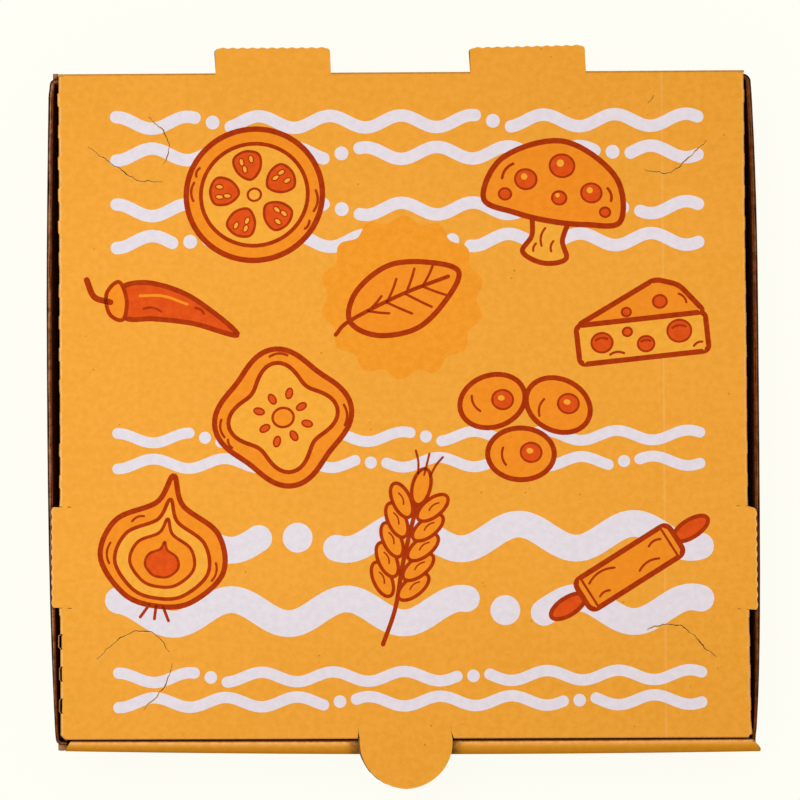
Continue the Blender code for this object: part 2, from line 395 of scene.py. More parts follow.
@dataclass
class Lid:
    """Lid panel of the die-cut sheet, with its flaps folded down, its tongue, its ears and its tabs.

    The sheet is one grid of rows and columns. Its inner part is flat. In the band along each edge a line
    either folds over the crease into a flap, or runs on flat to a cut edge. Two lines lie close together at
    each slit, and the cells between them have no face. Of a pair of values, the first is for the left side
    and the second for the right, and the shifts and trims are how far the real sheet is off its even place.
    """

    half_width: float
    front: float
    rear: float
    top: float
    tab_tip: float
    ear_tip: float
    tongue_radius: float = 20.1 * MM
    tongue_stem: float = 1.25 * MM
    tongue_past_cad: float = 0.28 * MM
    tongue_shift: float = 0.62 * MM
    tongue_point: float = 0.04
    relief_width: tuple[float, float] = (0.85 * MM, 0.5 * MM)
    relief_depth: float = 3.4 * MM
    tab_inner: float = 30.4 * MM
    tab_outer: float = 80.6 * MM
    tab_corner: float = 1.5 * MM
    tab_shift: float = -0.42 * MM
    tab_peek: float = 0.35 * MM
    tab_tilt: float = 0.018
    ear_front: float = -82.9 * MM
    ear_rear: float = -39.2 * MM
    ear_slit: tuple[float, float] = (0.2 * MM, 0.11 * MM)
    wave_pitch: float = 4.3 * MM
    wave_depth: float = 0.5 * MM
    corner_cut: tuple[float, float] = (1.0, 0.6)
    flap_rear: float = 143.5 * MM
    flap_drop: float = 36.0 * MM
    flap_stub: float = 0.3 * MM
    rear_lip: float = 1.1 * MM
    band: float = 6.0 * MM
    pair_gap: float = 0.08 * MM
    lip_period: float = 13.9 * MM
    lip_first: float = 138.9 * MM
    lip_half: float = 2.5 * MM
    lip_ease: float = 0.8 * MM
    lip_reach: tuple[float, float] = (0.5 * MM, 0.17 * MM)
    bridge_inset: float = 0.12 * MM
    open_lips: tuple[tuple[Side, int, float], ...] = (
        (Side.LEFT, 17, 0.5 * MM), (Side.LEFT, 18, 0.2 * MM), (Side.LEFT, 19, 0.35 * MM),
    )
    flare: float = 1.0 * MM
    corner_flare: float = 0.55 * MM
    side_shift: tuple[float, float] = (0.25 * MM, 0.3 * MM)
    front_shift: tuple[float, float] = (0.58 * MM, -0.2 * MM)
    ear_shift: tuple[float, float] = (0.4 * MM, -1.4 * MM)
    ear_slant: float = 0.7
    ear_rounding: float = 0.55 * MM
    ear_corner: float = 1.0 * MM
    ear_trim: tuple[float, float] = (0.55 * MM, 0.35 * MM)
    crown: float = 0.22 * MM
    droop: float = 0.5 * MM
    # Strengths of the rubbing and painted highlight along cut edges, the side creases, the front crease and the
    # hinge.
    edge_wear_and_highlight: float = 0.7
    side_wear_and_highlight: tuple[float, float] = (1.0, 0.7)
    front_wear_and_highlight: float = 0.3
    hinge_wear_and_highlight: float = 0.45

    @classmethod
    def from_frame(cls) -> "Lid":
        """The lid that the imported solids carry."""
        wall_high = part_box("rear_wall")[1]
        low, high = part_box("lid")
        front = low.y + cls.tongue_radius + cls.tongue_stem
        return cls(wall_high.x, front, wall_high.y, high.z, high.y, high.x)

    def rise(self, x: Array, y: Array) -> Array:
        """Gentle relief: a low crown, cos x cos y, that wanders across the flutes. Tongue and tabs droop."""
        across = np.clip(x / self.half_width, -1.0, 1.0)
        along = np.clip((2.0 * y - self.front - self.rear) / (self.rear - self.front), -1.0, 1.0)
        edge = np.cos(0.5 * np.pi * across) * np.cos(0.5 * np.pi * along)
        wander = drift(x + 0.12 * y, 11, 120.0 * MM, 3)
        forwards = np.clip((self.front - y) / self.tongue_radius, 0.0, None)
        backwards = np.clip((y - self.rear) / (self.tab_tip - self.rear), 0.0, None)
        return edge * self.crown * (1.0 + 0.35 * wander) - self.droop * (forwards**2 + backwards**2)

    def warp(self, x: Array, y: Array) -> tuple[Array, Array]:
        """Wandering of the real sheet: uneven side and front edges, ears and tabs a little off their place.

        Args:
            x: Even place across.
            y: Even place along.

        Returns:
            Real place across and along.
        """
        share = np.clip(x / self.half_width, -1.1, 1.1)
        on_left, on_right = np.clip(-share, 0.0, None) ** 3, np.clip(share, 0.0, None) ** 3
        across = x + self.flare * ease(20.0 * MM, 140.0 * MM, -y) * on_right
        across = across + self.corner_flare * ease(131.0 * MM, 138.0 * MM, -y) * on_right
        across = across + self.side_shift[0] * ease(-60.0 * MM, 0.0, y) * on_left
        across = across + self.side_shift[1] * (1.0 - ease(30.0 * MM, 90.0 * MM, np.abs(y))) * on_right
        near_ear = ease(0.0, 22.0 * MM, 44.0 * MM - np.abs(y - 0.5 * (self.ear_front + self.ear_rear)))
        out = np.clip((np.abs(x) - self.half_width) / (self.ear_tip - self.half_width), 0.0, 1.0)
        slant = 1.0 - self.ear_slant * ease(self.ear_front, self.ear_rear, y) * (1.0 - out)
        shift = np.where(x < 0.0, self.ear_shift[0], self.ear_shift[1] * slant)
        tab = np.clip((y - self.rear) / (self.tab_tip - self.rear), 0.0, 1.0)
        across = across + self.tab_shift * tab
        tilt = self.tab_tilt * (x - 0.5 * (self.tab_inner + self.tab_outer)) * (x > 0.0) * tab
        left, right = self.front_shift
        middle, half = 0.5 * (left + right), 0.5 * (right - left)
        skew = (middle + half * share) * np.clip((self.rear - y) / (self.rear - self.front), 0.0, 1.0)
        return across, y + shift * near_ear * np.abs(share) ** 8 + skew + tilt

    def waves(self, along: Array, start: float, end: float) -> Array:
        """Wavy cut edge between two ends: a whole number of crests, depth (1 - cos) / 2."""
        count = round((end - start) / self.wave_pitch)
        share = np.clip((along - start) / (end - start), 0.0, 1.0)
        return 0.5 * self.wave_depth * (1.0 - np.cos(2.0 * np.pi * count * share))

    def tab_reach(self, x: Array) -> Array:
        """How far a tab stands out behind the crease at this x: a row of waves, less the rounded corners."""
        distance = np.abs(x)
        waves = self.waves(distance, self.tab_inner + self.tab_corner, self.tab_outer - self.tab_corner)
        side = np.minimum(distance - self.tab_inner, self.tab_outer - distance)
        inset = np.clip(self.tab_corner - side, 0.0, self.tab_corner)
        rounding = self.tab_corner - np.sqrt(self.tab_corner**2 - inset**2)
        return self.tab_tip - self.rear - self.wave_depth + waves - rounding

    def ear_reach(self, y: Array) -> Array:
        """How far an ear stands out beside the crease at this y: a row of waves, less the rounded ends."""
        side = np.minimum(y - self.ear_front, self.ear_rear - y)
        rounding = self.ear_rounding * (1.0 - ease(0.0, self.ear_corner, side))
        waves = self.waves(y, self.ear_front, self.ear_rear)
        return self.ear_tip - self.half_width - self.wave_depth + waves - rounding

    def tongue_reach(self, x: Array) -> Array:
        """How far the tongue stands out at this x: a stem and a half disc, drawn out a little to a point."""
        share = np.clip(np.abs(x) / self.tongue_radius, 0.0, 1.0)
        disc = (1.0 - self.tongue_point) * np.sqrt(1.0 - share**2) + self.tongue_point * (1.0 - share)
        stem = self.tongue_stem + self.tongue_past_cad + 0.5 * sum(self.front_shift)
        return stem + self.tongue_radius * disc

    def lip_places(self) -> Array:
        """Middle of each lip along the side creases, from the rear."""
        return self.lip_first - self.lip_period * np.arange(20)

    def lips(self, y: Array) -> Array:
        """Share of the lips' reach that the side crease has at this y: 0 at the bridges between the cuts."""
        away = np.abs(y[:, None] - self.lip_places()[None, :]).min(axis=1)
        lip = 1.0 - ease(self.lip_half, self.lip_half + self.lip_ease, away)
        uneven = 0.45 + 0.4 * np.abs(y / self.rear) ** 2 + 0.25 * drift(y, 23, 60.0 * MM, 3)
        return lip * uneven

    def columns(self) -> Lines:
        """Columns of the whole sheet: tongue, tabs and what lies between, mirrored about the middle."""
        gap = self.pair_gap
        tongue = self.tongue_radius * np.sin(np.linspace(0.0, 0.5 * np.pi, 15))
        between = np.array([self.tongue_radius + gap, self.tongue_radius + 4.0 * MM, self.tab_inner - gap])
        corner = self.tab_corner * np.array([0.0, 0.1, 0.3, 0.6])
        crests = round((self.tab_outer - self.tab_inner - 2.0 * self.tab_corner) / self.wave_pitch)
        wavy = np.linspace(self.tab_inner + self.tab_corner, self.tab_outer - self.tab_corner, 5 * crests + 1)
        tab = np.concatenate([self.tab_inner + corner, wavy, self.tab_outer - corner[::-1]])
        outer = np.linspace(self.tab_outer + gap, self.half_width - self.band, 8)
        runs = ((tongue, Line.TONGUE), (between, Line.FOLDED), (tab, Line.TAB), (outer, Line.FOLDED))
        half = np.concatenate([run for run, _ in runs])
        kind = np.concatenate([np.full(len(run), int(line)) for run, line in runs])
        whole = np.concatenate([-half[::-1], half[1:]])
        return Lines.with_bands(whole, np.concatenate([kind[::-1], kind[1:]]))

    def rows(self) -> Lines:
        """Rows of the whole sheet: the lips of the side creases, the ears' waves and the flaps' ends."""
        gap = self.pair_gap
        low, high = self.front + self.band, self.rear - self.band
        steps = self.lip_half + self.lip_ease * np.array([0.0, 0.5, 1.0])
        around = np.concatenate([-steps[::-1], [-0.5 * self.lip_half, 0.5 * self.lip_half], steps])
        at = (self.lip_places()[:, None] + around[None, :]).ravel()
        at = np.concatenate([at, self.lip_places() - 0.5 * self.lip_period])
        at = at[((at < self.ear_front - MM) | (at > self.ear_rear + MM)) & (at < self.flap_rear - MM)]
        crests = round((self.ear_rear - self.ear_front) / self.wave_pitch)
        ears = np.linspace(self.ear_front, self.ear_rear, 5 * crests + 1)
        past_ears = (self.ear_front - gap, self.ear_rear + gap)
        ends = np.array([*past_ears, self.flap_rear - gap, self.flap_rear, low, high])
        at = np.unique(np.concatenate([at, ears, ends]))
        at = at[(at >= low) & (at <= high)]
        is_ear = (at > self.ear_front - 0.5 * gap) & (at < self.ear_rear + 0.5 * gap)
        rows = Lines.with_bands(at, np.where(is_ear, Line.EAR, Line.FOLDED))
        rows.kind[rows.high >= Fold.CREASE] = Line.CUT
        return rows

    def sheet(self, depth: float) -> Surface:
        """The lid's sheet at this depth below the outer face of the board.

        Args:
            depth: 0 for the printed face, the inner depth for the inner liner.

        Returns:
            The folded sheet with its slits left open, with rubbing and a painted highlight along its creases and cut
            edges, and painted shade along the hinge fold.
        """
        columns, rows = self.columns(), self.rows()
        bend = max(BOARD.bend - depth, BOARD.tight_bend)
        fold = Fold(self.band - depth, bend, self.flap_drop - bend)
        share, crease = Fold.flat_share(), Fold.CREASE
        aside = columns.aside
        sign = columns.by_end((-1.0, 1.0))[None, :]
        folded = (rows.kind == Line.FOLDED)[:, None]
        past = np.clip(fold.out - fold.out[crease], 0.0, None)

        reach = columns.by_end(self.lip_reach)[None, :] + self.bridge_inset
        lips = (self.lips(rows.at)[:, None] * reach - self.bridge_inset) * (aside >= crease)
        for side, number, extra in self.open_lips:
            at_lip = np.abs(rows.at - self.lip_places()[number]) < self.lip_half + 0.1 * MM
            lips = lips + extra * np.outer(at_lip, (sign[0] == side.value) & (aside > crease + 1))
        trim = columns.by_end(self.ear_trim)[None, :]
        ear = np.where((rows.kind == Line.EAR)[:, None], self.ear_reach(rows.at)[:, None] - trim, 0.0)
        cut = columns.by_end(self.corner_cut)
        corner = cut * np.outer(past[rows.low], aside == crease)
        flat = share[aside][None, :] * (self.band + ear)
        outwards = np.where(folded, fold.out[aside][None, :] + lips - corner, flat)
        x = columns.at[None, :] + sign * outwards
        stub = replace(fold, drop=self.flap_stub)
        cut_short = ((rows.at > self.flap_rear - 0.5 * self.pair_gap) | (rows.high > 0))[:, None]
        down = np.where(cut_short, stub.down[aside][None, :], fold.down[aside][None, :])
        drop = np.where(folded, down, 0.0)

        is_tongue = (columns.kind == Line.TONGUE)[None, :]
        reach = self.band + self.tongue_reach(x)
        forwards = np.where(is_tongue, share[rows.low][:, None] * reach, fold.out[rows.low][:, None])
        forwards = forwards - cut * np.outer(rows.low == crease, past[aside])
        drop = drop + np.where(is_tongue, 0.0, fold.down[rows.low][:, None])

        hinge = Fold(self.band - depth, bend, self.rear_lip)
        is_tab = (columns.kind == Line.TAB)[None, :]
        reach = self.band + self.tab_reach(x)
        backwards = np.where(is_tab, share[rows.high][:, None] * reach, hinge.out[rows.high][:, None])
        drop = drop + np.where(is_tab, 0.0, hinge.down[rows.high][:, None])
        y = rows.at[:, None] - forwards + backwards

        beside = np.isclose(np.abs(columns.at), self.tongue_radius + self.pair_gap)[None, :]
        ahead = ease(0.0, self.relief_depth, self.front + self.relief_depth - y)
        opening = np.where(columns.at < 0.0, -self.relief_width[0], self.relief_width[1]) * beside
        x = x + (opening + self.tongue_shift * (beside | is_tongue)) * ahead
        x = x - self.tab_peek * depth / BOARD.inner_depth * is_tab * share[rows.high][:, None]
        slit = np.isclose(rows.at, self.ear_rear + self.pair_gap) * 1.0
        slit = slit - np.isclose(rows.at, self.ear_front - self.pair_gap)
        y = y + slit[:, None] * columns.by_end(self.ear_slit)[None, :] * (aside > 0)[None, :]

        z = self.top - depth - drop + self.rise(x, y)
        wear, grime = self.worn_highlit_and_shaded(columns, rows)
        keep = self.kept(columns, rows, depth == 0.0)
        return Surface(np.stack([*self.warp(x, y), z], axis=-1), keep, wear, grime)

    def kept(self, columns: Lines, rows: Lines, cut_open: bool) -> Array:
        """Which cells have a face: none across a slit, or at a corner past both creases.

        Args:
            columns: Columns of the sheet.
            rows: Rows of the sheet.
            cut_open: Whether the open cuts go through this sheet.

        Returns:
            The cells to keep.
        """
        crease = Fold.CREASE
        aside, front, rear = (
            np.maximum(step[:-1], step[1:]) for step in (columns.aside, rows.low, rows.high)
        )
        keep = ~np.outer(front > crease, aside > crease)
        keep &= ~np.outer(np.diff(rows.kind == Line.FOLDED), aside > crease)
        keep &= ~np.outer(np.diff(rows.kind == Line.EAR), aside == 2)
        keep &= ~np.outer(front > 1, np.diff(columns.kind == Line.TONGUE))
        keep &= ~np.outer(rear > crease, np.diff(columns.kind == Line.TAB))
        middle = 0.5 * (rows.at[:-1] + rows.at[1:])
        on_left = (columns.low[:-1] > 0)[None, :]
        for side, number, _ in self.open_lips if cut_open else ():
            at_lip = np.abs(middle - self.lip_places()[number]) < self.lip_half + self.lip_ease
            at_lip &= (rows.kind[:-1] == Line.FOLDED) & (front == 0)
            arc = (aside > crease) & (aside <= crease + 3)
            keep &= ~(np.outer(at_lip, arc) & (on_left == (side is Side.LEFT)))
        return keep

    def worn_highlit_and_shaded(self, columns: Lines, rows: Lines) -> tuple[Array, Array]:
        """Rubbing and painted highlight along the folds and cut edges, and painted shade along the arc of the hinge
        fold.

        Args:
            columns: Columns of the sheet.
            rows: Rows of the sheet.

        Returns:
            A grid of rubbing and highlight and a grid of painted shade, 0 to 1.
        """
        aside = columns.aside
        edge = (np.arange(Fold.STEPS + 1) == Fold.STEPS) * self.edge_wear_and_highlight
        folded = (rows.kind == Line.FOLDED)[:, None]
        is_tongue, is_tab = (columns.kind == Line.TONGUE)[None, :], (columns.kind == Line.TAB)[None, :]
        rubbed_and_highlit = Fold.RUBBED_AND_HIGHLIT[aside] * columns.by_end(self.side_wear_and_highlight)
        across = np.where(folded, rubbed_and_highlit[None, :], Fold.CUT[aside][None, :])
        front = np.where(is_tongue, edge[rows.low][:, None], self.front_wear_and_highlight * Fold.RUBBED_AND_HIGHLIT[rows.low][:, None])
        # A painted highlight, with some rubbing, just past the hinge's painted shade.
        past_hinge = self.hinge_wear_and_highlight * np.roll(Fold.RUBBED_AND_HIGHLIT, 2)[rows.high][:, None]
        rear = np.where(is_tab, edge[rows.high][:, None], past_hinge)
        # Painted shade along the hinge fold's arc.
        hinge_shading = np.where(is_tab, 0.0, Fold.HINGE_SHADE[rows.high][:, None])
        return np.maximum(across, np.maximum(front, rear)), hinge_shading

    def flute_patches(self) -> list[Surface]:
        """The wavy medium under the tongue, the tabs and the ears, where cut edges show it."""
        step = BOARD.flute_pitch / 8.0
        inset = 0.12 * MM

        def patch(x: Array, near: Array, far: Array) -> Surface:
            share = np.linspace(0.0, 1.0, 7)[:, None]
            grid_x = np.broadcast_to(x[None, :], (7, len(x)))
            grid_y = near[None, :] + (far - near)[None, :] * share
            z = self.top - BOARD.wave(grid_x) + self.rise(grid_x, grid_y)
            return Surface(np.stack([*self.warp(grid_x, grid_y), z], axis=-1))

        tongue = np.arange(-self.tongue_radius + inset, self.tongue_radius - inset, step)
        tip = self.front - self.tongue_reach(tongue) + inset
        patches = [patch(tongue, tip, np.full_like(tongue, self.front + self.band))]
        for sign in (-1.0, 1.0):
            x = np.sort(sign * np.arange(self.tab_inner + inset, self.tab_outer - inset, step))
            far = self.rear + self.tab_reach(x) - inset
            patches.append(patch(x, np.full_like(x, self.rear - self.band), far))
            out = np.linspace(self.half_width - self.band, self.ear_tip - self.wave_depth - inset, 24)
            x = np.sort(sign * out)
            ends = (np.full_like(x, self.ear_front + inset), np.full_like(x, self.ear_rear - inset))
            patches.append(patch(x, *ends))
        return patches

    def over(self, flat: Array, lift: float) -> Array:
        """Points this far above the lid's relief, over a flat grid of places."""
        x, y = flat[..., 0], flat[..., 1]
        return np.stack([x, y, self.top + self.rise(x, y) + lift], axis=-1)

    def build(self, shop: Workshop, paints: "Paints") -> None:
        """Makes the lid's two liners and its medium."""
        inside = paints.inner_liner
        # The liner's cut edges take a painted highlight.
        finish = (paints.printed, paints.cut_edge_highlit, inside)
        shop.sheet("lid_liner", [self.sheet(0.0)], BOARD.liner, finish, Slot.PRINTED, ("lid",))
        shop.sheet("lid_medium", self.flute_patches(), BOARD.medium, (paints.medium,), Slot.RAW)
        inner = self.sheet(BOARD.inner_depth)
        shop.sheet("lid_inner_liner", [inner], BOARD.liner, (inside, paints.cut_edge, inside), Slot.RAW)


def block(low: Sequence[float], high: Sequence[float], rounding: float) -> list[Surface]:
    """Upright block with a rounded top: a square ring carried up, pulled in along a quarter circle.

    Args:
        low: Lowest corner, at the foot.
        high: Highest corner.
        rounding: Radius of the top's edge.

    Returns:
        The four sides as one wrapped surface, and the top.
    """
    angle = np.linspace(0.0, 0.5 * np.pi, 5)
    pull = np.concatenate([[0.0], rounding * (1.0 - np.cos(angle))])
    level = np.concatenate([[low[2]], high[2] - rounding * (1.0 - np.sin(angle))])
    corner = np.array([[0.0, 0.0], [1.0, 0.0], [1.0, 1.0], [0.0, 1.0]])[:, None, :]
    size = np.array(high[:2]) - np.array(low[:2]) - 2.0 * pull[:, None]
    flat = np.array(low[:2]) + pull[:, None] + corner * size
    ring = np.dstack([flat, np.broadcast_to(level, flat.shape[:2])])
    top = ring[:, -1]
    return [Surface(ring, flipped=True, wrapped=True), Surface(top[[0, 1, 3, 2]].reshape(2, 2, 3))]


@dataclass
class SideWall:
    """Side wall with its raw edge up. Its top leans out and bows, and it turns in behind the rear wall.

    Attributes:
        side: Which side it stands on.
        top: Height of its raw edge.
        rear: Outer face of the flap behind the rear wall.
        front_return: Whether it turns in at the front as well.
        rear_bulge: How far its rear corner bulges past that flap.
        crest: Where along the wall the top leans out most.
        crest_lean: How far it leans out there.
        front_fall: How much less it leans at the front end, and the power of that fall.
        rear_fall: The same at the rear end.
        nips: How much less still it leans right at the front and at the rear corner.
        corner_radius: Radius of its corners.
    """

    side: Side
    top: float
    rear: float
    front_return: bool
    rear_bulge: float
    crest: float
    crest_lean: float
    front_fall: tuple[float, float]
    rear_fall: tuple[float, float]
    nips: tuple[float, float]
    corner_radius: float
    foot: float = 151.6 * MM
    front_end: float = -137.0 * MM
    rear_end: float = 145.0 * MM
    nip_length: float = 4.5 * MM
    pinch: float = 0.5
    pinch_from: float = -70.0 * MM
    step_in: float = 2.0 * MM
    return_end: float = 24.0 * MM
    front_return_end: float = 148.0 * MM
    front_face: float = -141.7 * MM
    straight_end: float = -142.2 * MM
    foot_radius: float = 2.0 * MM
    liner: float = 0.48 * MM
    # Painted shade on the inner liner, darker downwards into the gap.
    inside_shade: float = 0.8

    LEVELS: ClassVar[Array] = np.array([8.0, 20.0, 32.0, 39.0, 41.6]) * MM

    @classmethod
    def left(cls) -> "SideWall":
        """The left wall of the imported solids, which bows most behind its middle."""
        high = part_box("side_wall_left")[1]
        return cls(
            Side.LEFT, high.z, high.y, front_return=True, rear_bulge=0.0, crest=50.0 * MM, crest_lean=3.3 * MM,
            front_fall=(3.0 * MM, 3.0), rear_fall=(1.28 * MM, 1.4), nips=(0.3 * MM, 0.45 * MM),
            corner_radius=2.6 * MM,
        )

    @classmethod
    def right(cls) -> "SideWall":
        """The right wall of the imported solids: its rear corner bulges and its front end is cut straight."""
        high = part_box("side_wall_right")[1]
        return cls(
            Side.RIGHT, high.z, high.y, front_return=False, rear_bulge=0.8 * MM, crest=18.0 * MM,
            crest_lean=3.55 * MM, front_fall=(2.2 * MM, 5.0), rear_fall=(2.45 * MM, 2.9),
            nips=(0.45 * MM, 0.05 * MM), corner_radius=3.6 * MM,
        )

    def lean(self, y: Array) -> Array:
        """How far the top stands out from the foot: the crest's lean less fall share^power at each end."""
        ahead = np.clip((self.crest - y) / (self.crest - self.front_end), 0.0, 1.0)
        behind = np.clip((y - self.crest) / (self.rear_end - self.crest), 0.0, 1.0)
        (front_fall, front_power), (rear_fall, rear_power) = self.front_fall, self.rear_fall
        falls = front_fall * ahead**front_power + rear_fall * behind**rear_power
        nips = self.nips[0] * ease(0.0, self.nip_length, self.front_end + MM - y)
        nips = nips + self.nips[1] * ease(0.0, self.nip_length, y - self.rear_end + self.nip_length)
        return self.crest_lean - falls - nips

    def path(self) -> tuple[Array, Array, Array, Array]:
        """Foot line of the wall from front to rear, for the right-hand side.

        The rear corner is a quarter circle that bulges past the return flap, and steps in to it.

        Returns:
            Its points, its outward normals, the lean of the top at each, and the length walked.
        """
        radius = self.corner_radius
        angle = np.linspace(0.0, 0.5 * np.pi, 10)
        last = self.rear + self.rear_bulge - radius
        first = self.straight_end
        runs = []
        if self.front_return:
            first = self.front_face + radius
            turn = angle[:-1] - 0.5 * np.pi
            runs.append(np.array([[self.front_return_end - MM, self.front_face]]))
            corner_x = self.foot - radius + radius * np.cos(turn)
            runs.append(np.column_stack([corner_x, first + radius * np.sin(turn)]))
        y = np.linspace(first, last, 170)
        runs.append(np.column_stack([np.full_like(y, self.foot), y]))
        corner_x = self.foot - radius + radius * np.cos(angle[1:])
        runs.append(np.column_stack([corner_x, last + radius * np.sin(angle[1:])]))
        share = np.linspace(0.0, 1.0, 8)[1:]
        inwards = self.foot - radius - self.step_in * share
        step = self.rear + self.rear_bulge * (1.0 - ease(0.0, 1.0, share))
        runs.append(np.column_stack([inwards, step]))
        x = np.linspace(inwards[-1], self.return_end, 12)[1:]
        runs.append(np.column_stack([x, np.full_like(x, self.rear)]))
        points = np.concatenate(runs)
        along = np.concatenate([[0.0], np.cumsum(np.linalg.norm(np.diff(points, axis=0), axis=1))])
        tangent = np.gradient(points, along, axis=0)
        tangent /= np.linalg.norm(tangent, axis=1)[:, None]
        normals = np.column_stack([tangent[:, 1], -tangent[:, 0]])
        return points, normals, self.lean(points[:, 1]) * np.clip(normals[:, 0], 0.0, 1.0), along

    def surface(self, height: Array, depth: Array, fray: float, seed: int, dark: float = 0.0) -> Surface:
        """A sheet of the wall: the foot line moved along its normals by the lean less the depth.

        The board is pinched thinner towards the front.

        Args:
            height: Height of each column, without fray.
            depth: Depth below the outer face, of each column or of each point.
            fray: How uneven the raw top edge is.
            seed: Seed of the fray.
            dark: How much painted shade darkens the sheet below its top.

        Returns:
            The sheet, with its outer face outwards.
        """
        points, normals, leans, along = self.path()
        pinched = ease(0.0, 1.0, (self.pinch_from - points[:, 1]) / (self.pinch_from - self.front_end))
        thinned = 1.0 - self.pinch * pinched
        shift = leans[:, None] * (height / self.top)[None, :] - depth * thinned[:, None]
        flat = points[:, None, :] + normals[:, None, :] * shift[..., None]
        near_top = ease(self.top - 3.0 * MM, self.top, height)
        ragged = fray * drift(along, seed, 26.0 * MM)[:, None] * near_top[None, :]
        z = np.broadcast_to(height[None, :], shift.shape) + ragged
        wear = 0.35 * ease(self.top - 0.9 * MM, self.top, height)[None, :]
        # Painted shade, darker downwards below the top.
        grime = dark * (1.0 - ease(self.top - 4.0 * MM, self.top, height))[None, :]
        grid = np.stack([self.side.value * flat[..., 0], flat[..., 1], z], axis=-1)
        return Surface(grid, wear=wear, grime=grime, flipped=self.side is Side.RIGHT)

    def crushed_edge(self, seed: int) -> Surface:
        """The medium crushed flat in the raw top edge: a low ridge that wanders between the liners."""
        across = np.linspace(-1.0, 1.0, 6)
        points = self.path()[0]
        place = points[:, 1] + 2.0 * np.abs(points[:, 0])
        width = 0.42 * MM * (1.0 + 0.35 * drift(place, seed, 34.0 * MM))
        middle = 0.92 * MM + 0.16 * MM * drift(place, seed + 1, 48.0 * MM)
        depth = middle[:, None] + width[:, None] * across[None, :]
        height = self.top - 0.12 * MM - 0.25 * MM * across**2
        return self.surface(height, depth, 0.14 * MM, seed + 2)

    def build(self, shop: Workshop, paints: "Paints") -> None:
        """Makes the wall's outer liner, medium and inner liner."""
        angle = np.linspace(0.0, 0.5 * np.pi, 6)
        above = np.array([*self.LEVELS, self.top])
        height = np.concatenate([self.foot_radius * (1.0 - np.cos(angle)), above])
        depth = np.concatenate([self.foot_radius * (1.0 - np.sin(angle)), np.zeros(len(above))])
        name = self.side.name.lower()
        seed = 5 if self.side is Side.LEFT else 8
        inside = paints.inner_liner
        outer = self.surface(height, depth[None, :], 0.12 * MM, seed)
        finish = (paints.printed_wall, paints.cut_edge, inside)
        shop.sheet(f"{name}_wall_liner", [outer], self.liner, finish, Slot.PRINTED, (f"side_wall_{name}",))

        points = self.path()[0]
        steps = np.arange(1.0 * MM, self.top - 0.8 * MM, BOARD.flute_pitch / 8.0)
        wander = 0.3 * drift(points[:, 1], seed + 1, 190.0 * MM, 3) * BOARD.flute_pitch
        medium = self.surface(steps, BOARD.wave(steps[None, :] + wander[:, None]), 0.08 * MM, seed + 2)
        shop.sheet(f"{name}_wall_medium", [medium], BOARD.medium, (paints.medium,), Slot.RAW)
        crushed = self.crushed_edge(seed + 4)
        ridge = paints.crushed if self.side is Side.LEFT else paints.crushed_dark
        shop.sheet(f"{name}_wall_crushed_edge", [crushed], 0.5 * MM, (ridge,), Slot.RAW)

        behind = np.full((1, len(above)), BOARD.thickness - self.liner)
        inner = self.surface(above - 0.15 * MM, behind, 0.14 * MM, seed + 3, self.inside_shade)
        finish = (inside, paints.cut_edge_warm, inside)
        shop.sheet(f"{name}_wall_inner_liner", [inner], self.liner, finish, Slot.RAW)


@dataclass
class CornerTucks:
    """Raw ends of plies that show in the corners: beside the rolled wall, and behind the left wall.

    Each ply is its lowest corner, its highest corner and the radius of its top's edge, in millimetres.
    """

    ply: float = 0.3 * MM

    FRONT_LEFT: ClassVar[tuple] = (
        ((-150.9, -144.3, 1.0), (-146.6, -141.7, 40.5), 0.5),
        ((-150.7, -144.7, 1.0), (-148.5, -143.8, 38.4), 0.4),
    )
    FRONT_RIGHT: ClassVar[tuple] = (((149.0, -143.6, 1.0), (152.0, -140.9, 38.5), 0.5),)
    REAR_LEFT: ClassVar[tuple] = (
        ((-151.8, 148.2, 1.0), (-149.6, 150.6, 42.5), 0.6),
        ((-151.5, 146.2, 4.0), (-150.0, 147.8, 42.7), 0.5),
    )

    def build(self, shop: Workshop, paints: "Paints") -> None:
        """Makes the step at the front left, the dark ply at the front right and the lump at the rear left."""
        corners = (
            ("front_left_tuck", self.FRONT_LEFT, paints.crushed),
            ("front_right_tuck", self.FRONT_RIGHT, paints.cut_edge),
            ("rear_left_tuck", self.REAR_LEFT, paints.crushed),
        )
        for name, plies, paint in corners:
            surfaces: list[Surface] = []
            for low, high, rounding in plies:
                surfaces += block(np.array(low) * MM, np.array(high) * MM, rounding * MM)
            shop.sheet(name, surfaces, self.ply, (paint,), Slot.RAW, weld=True)


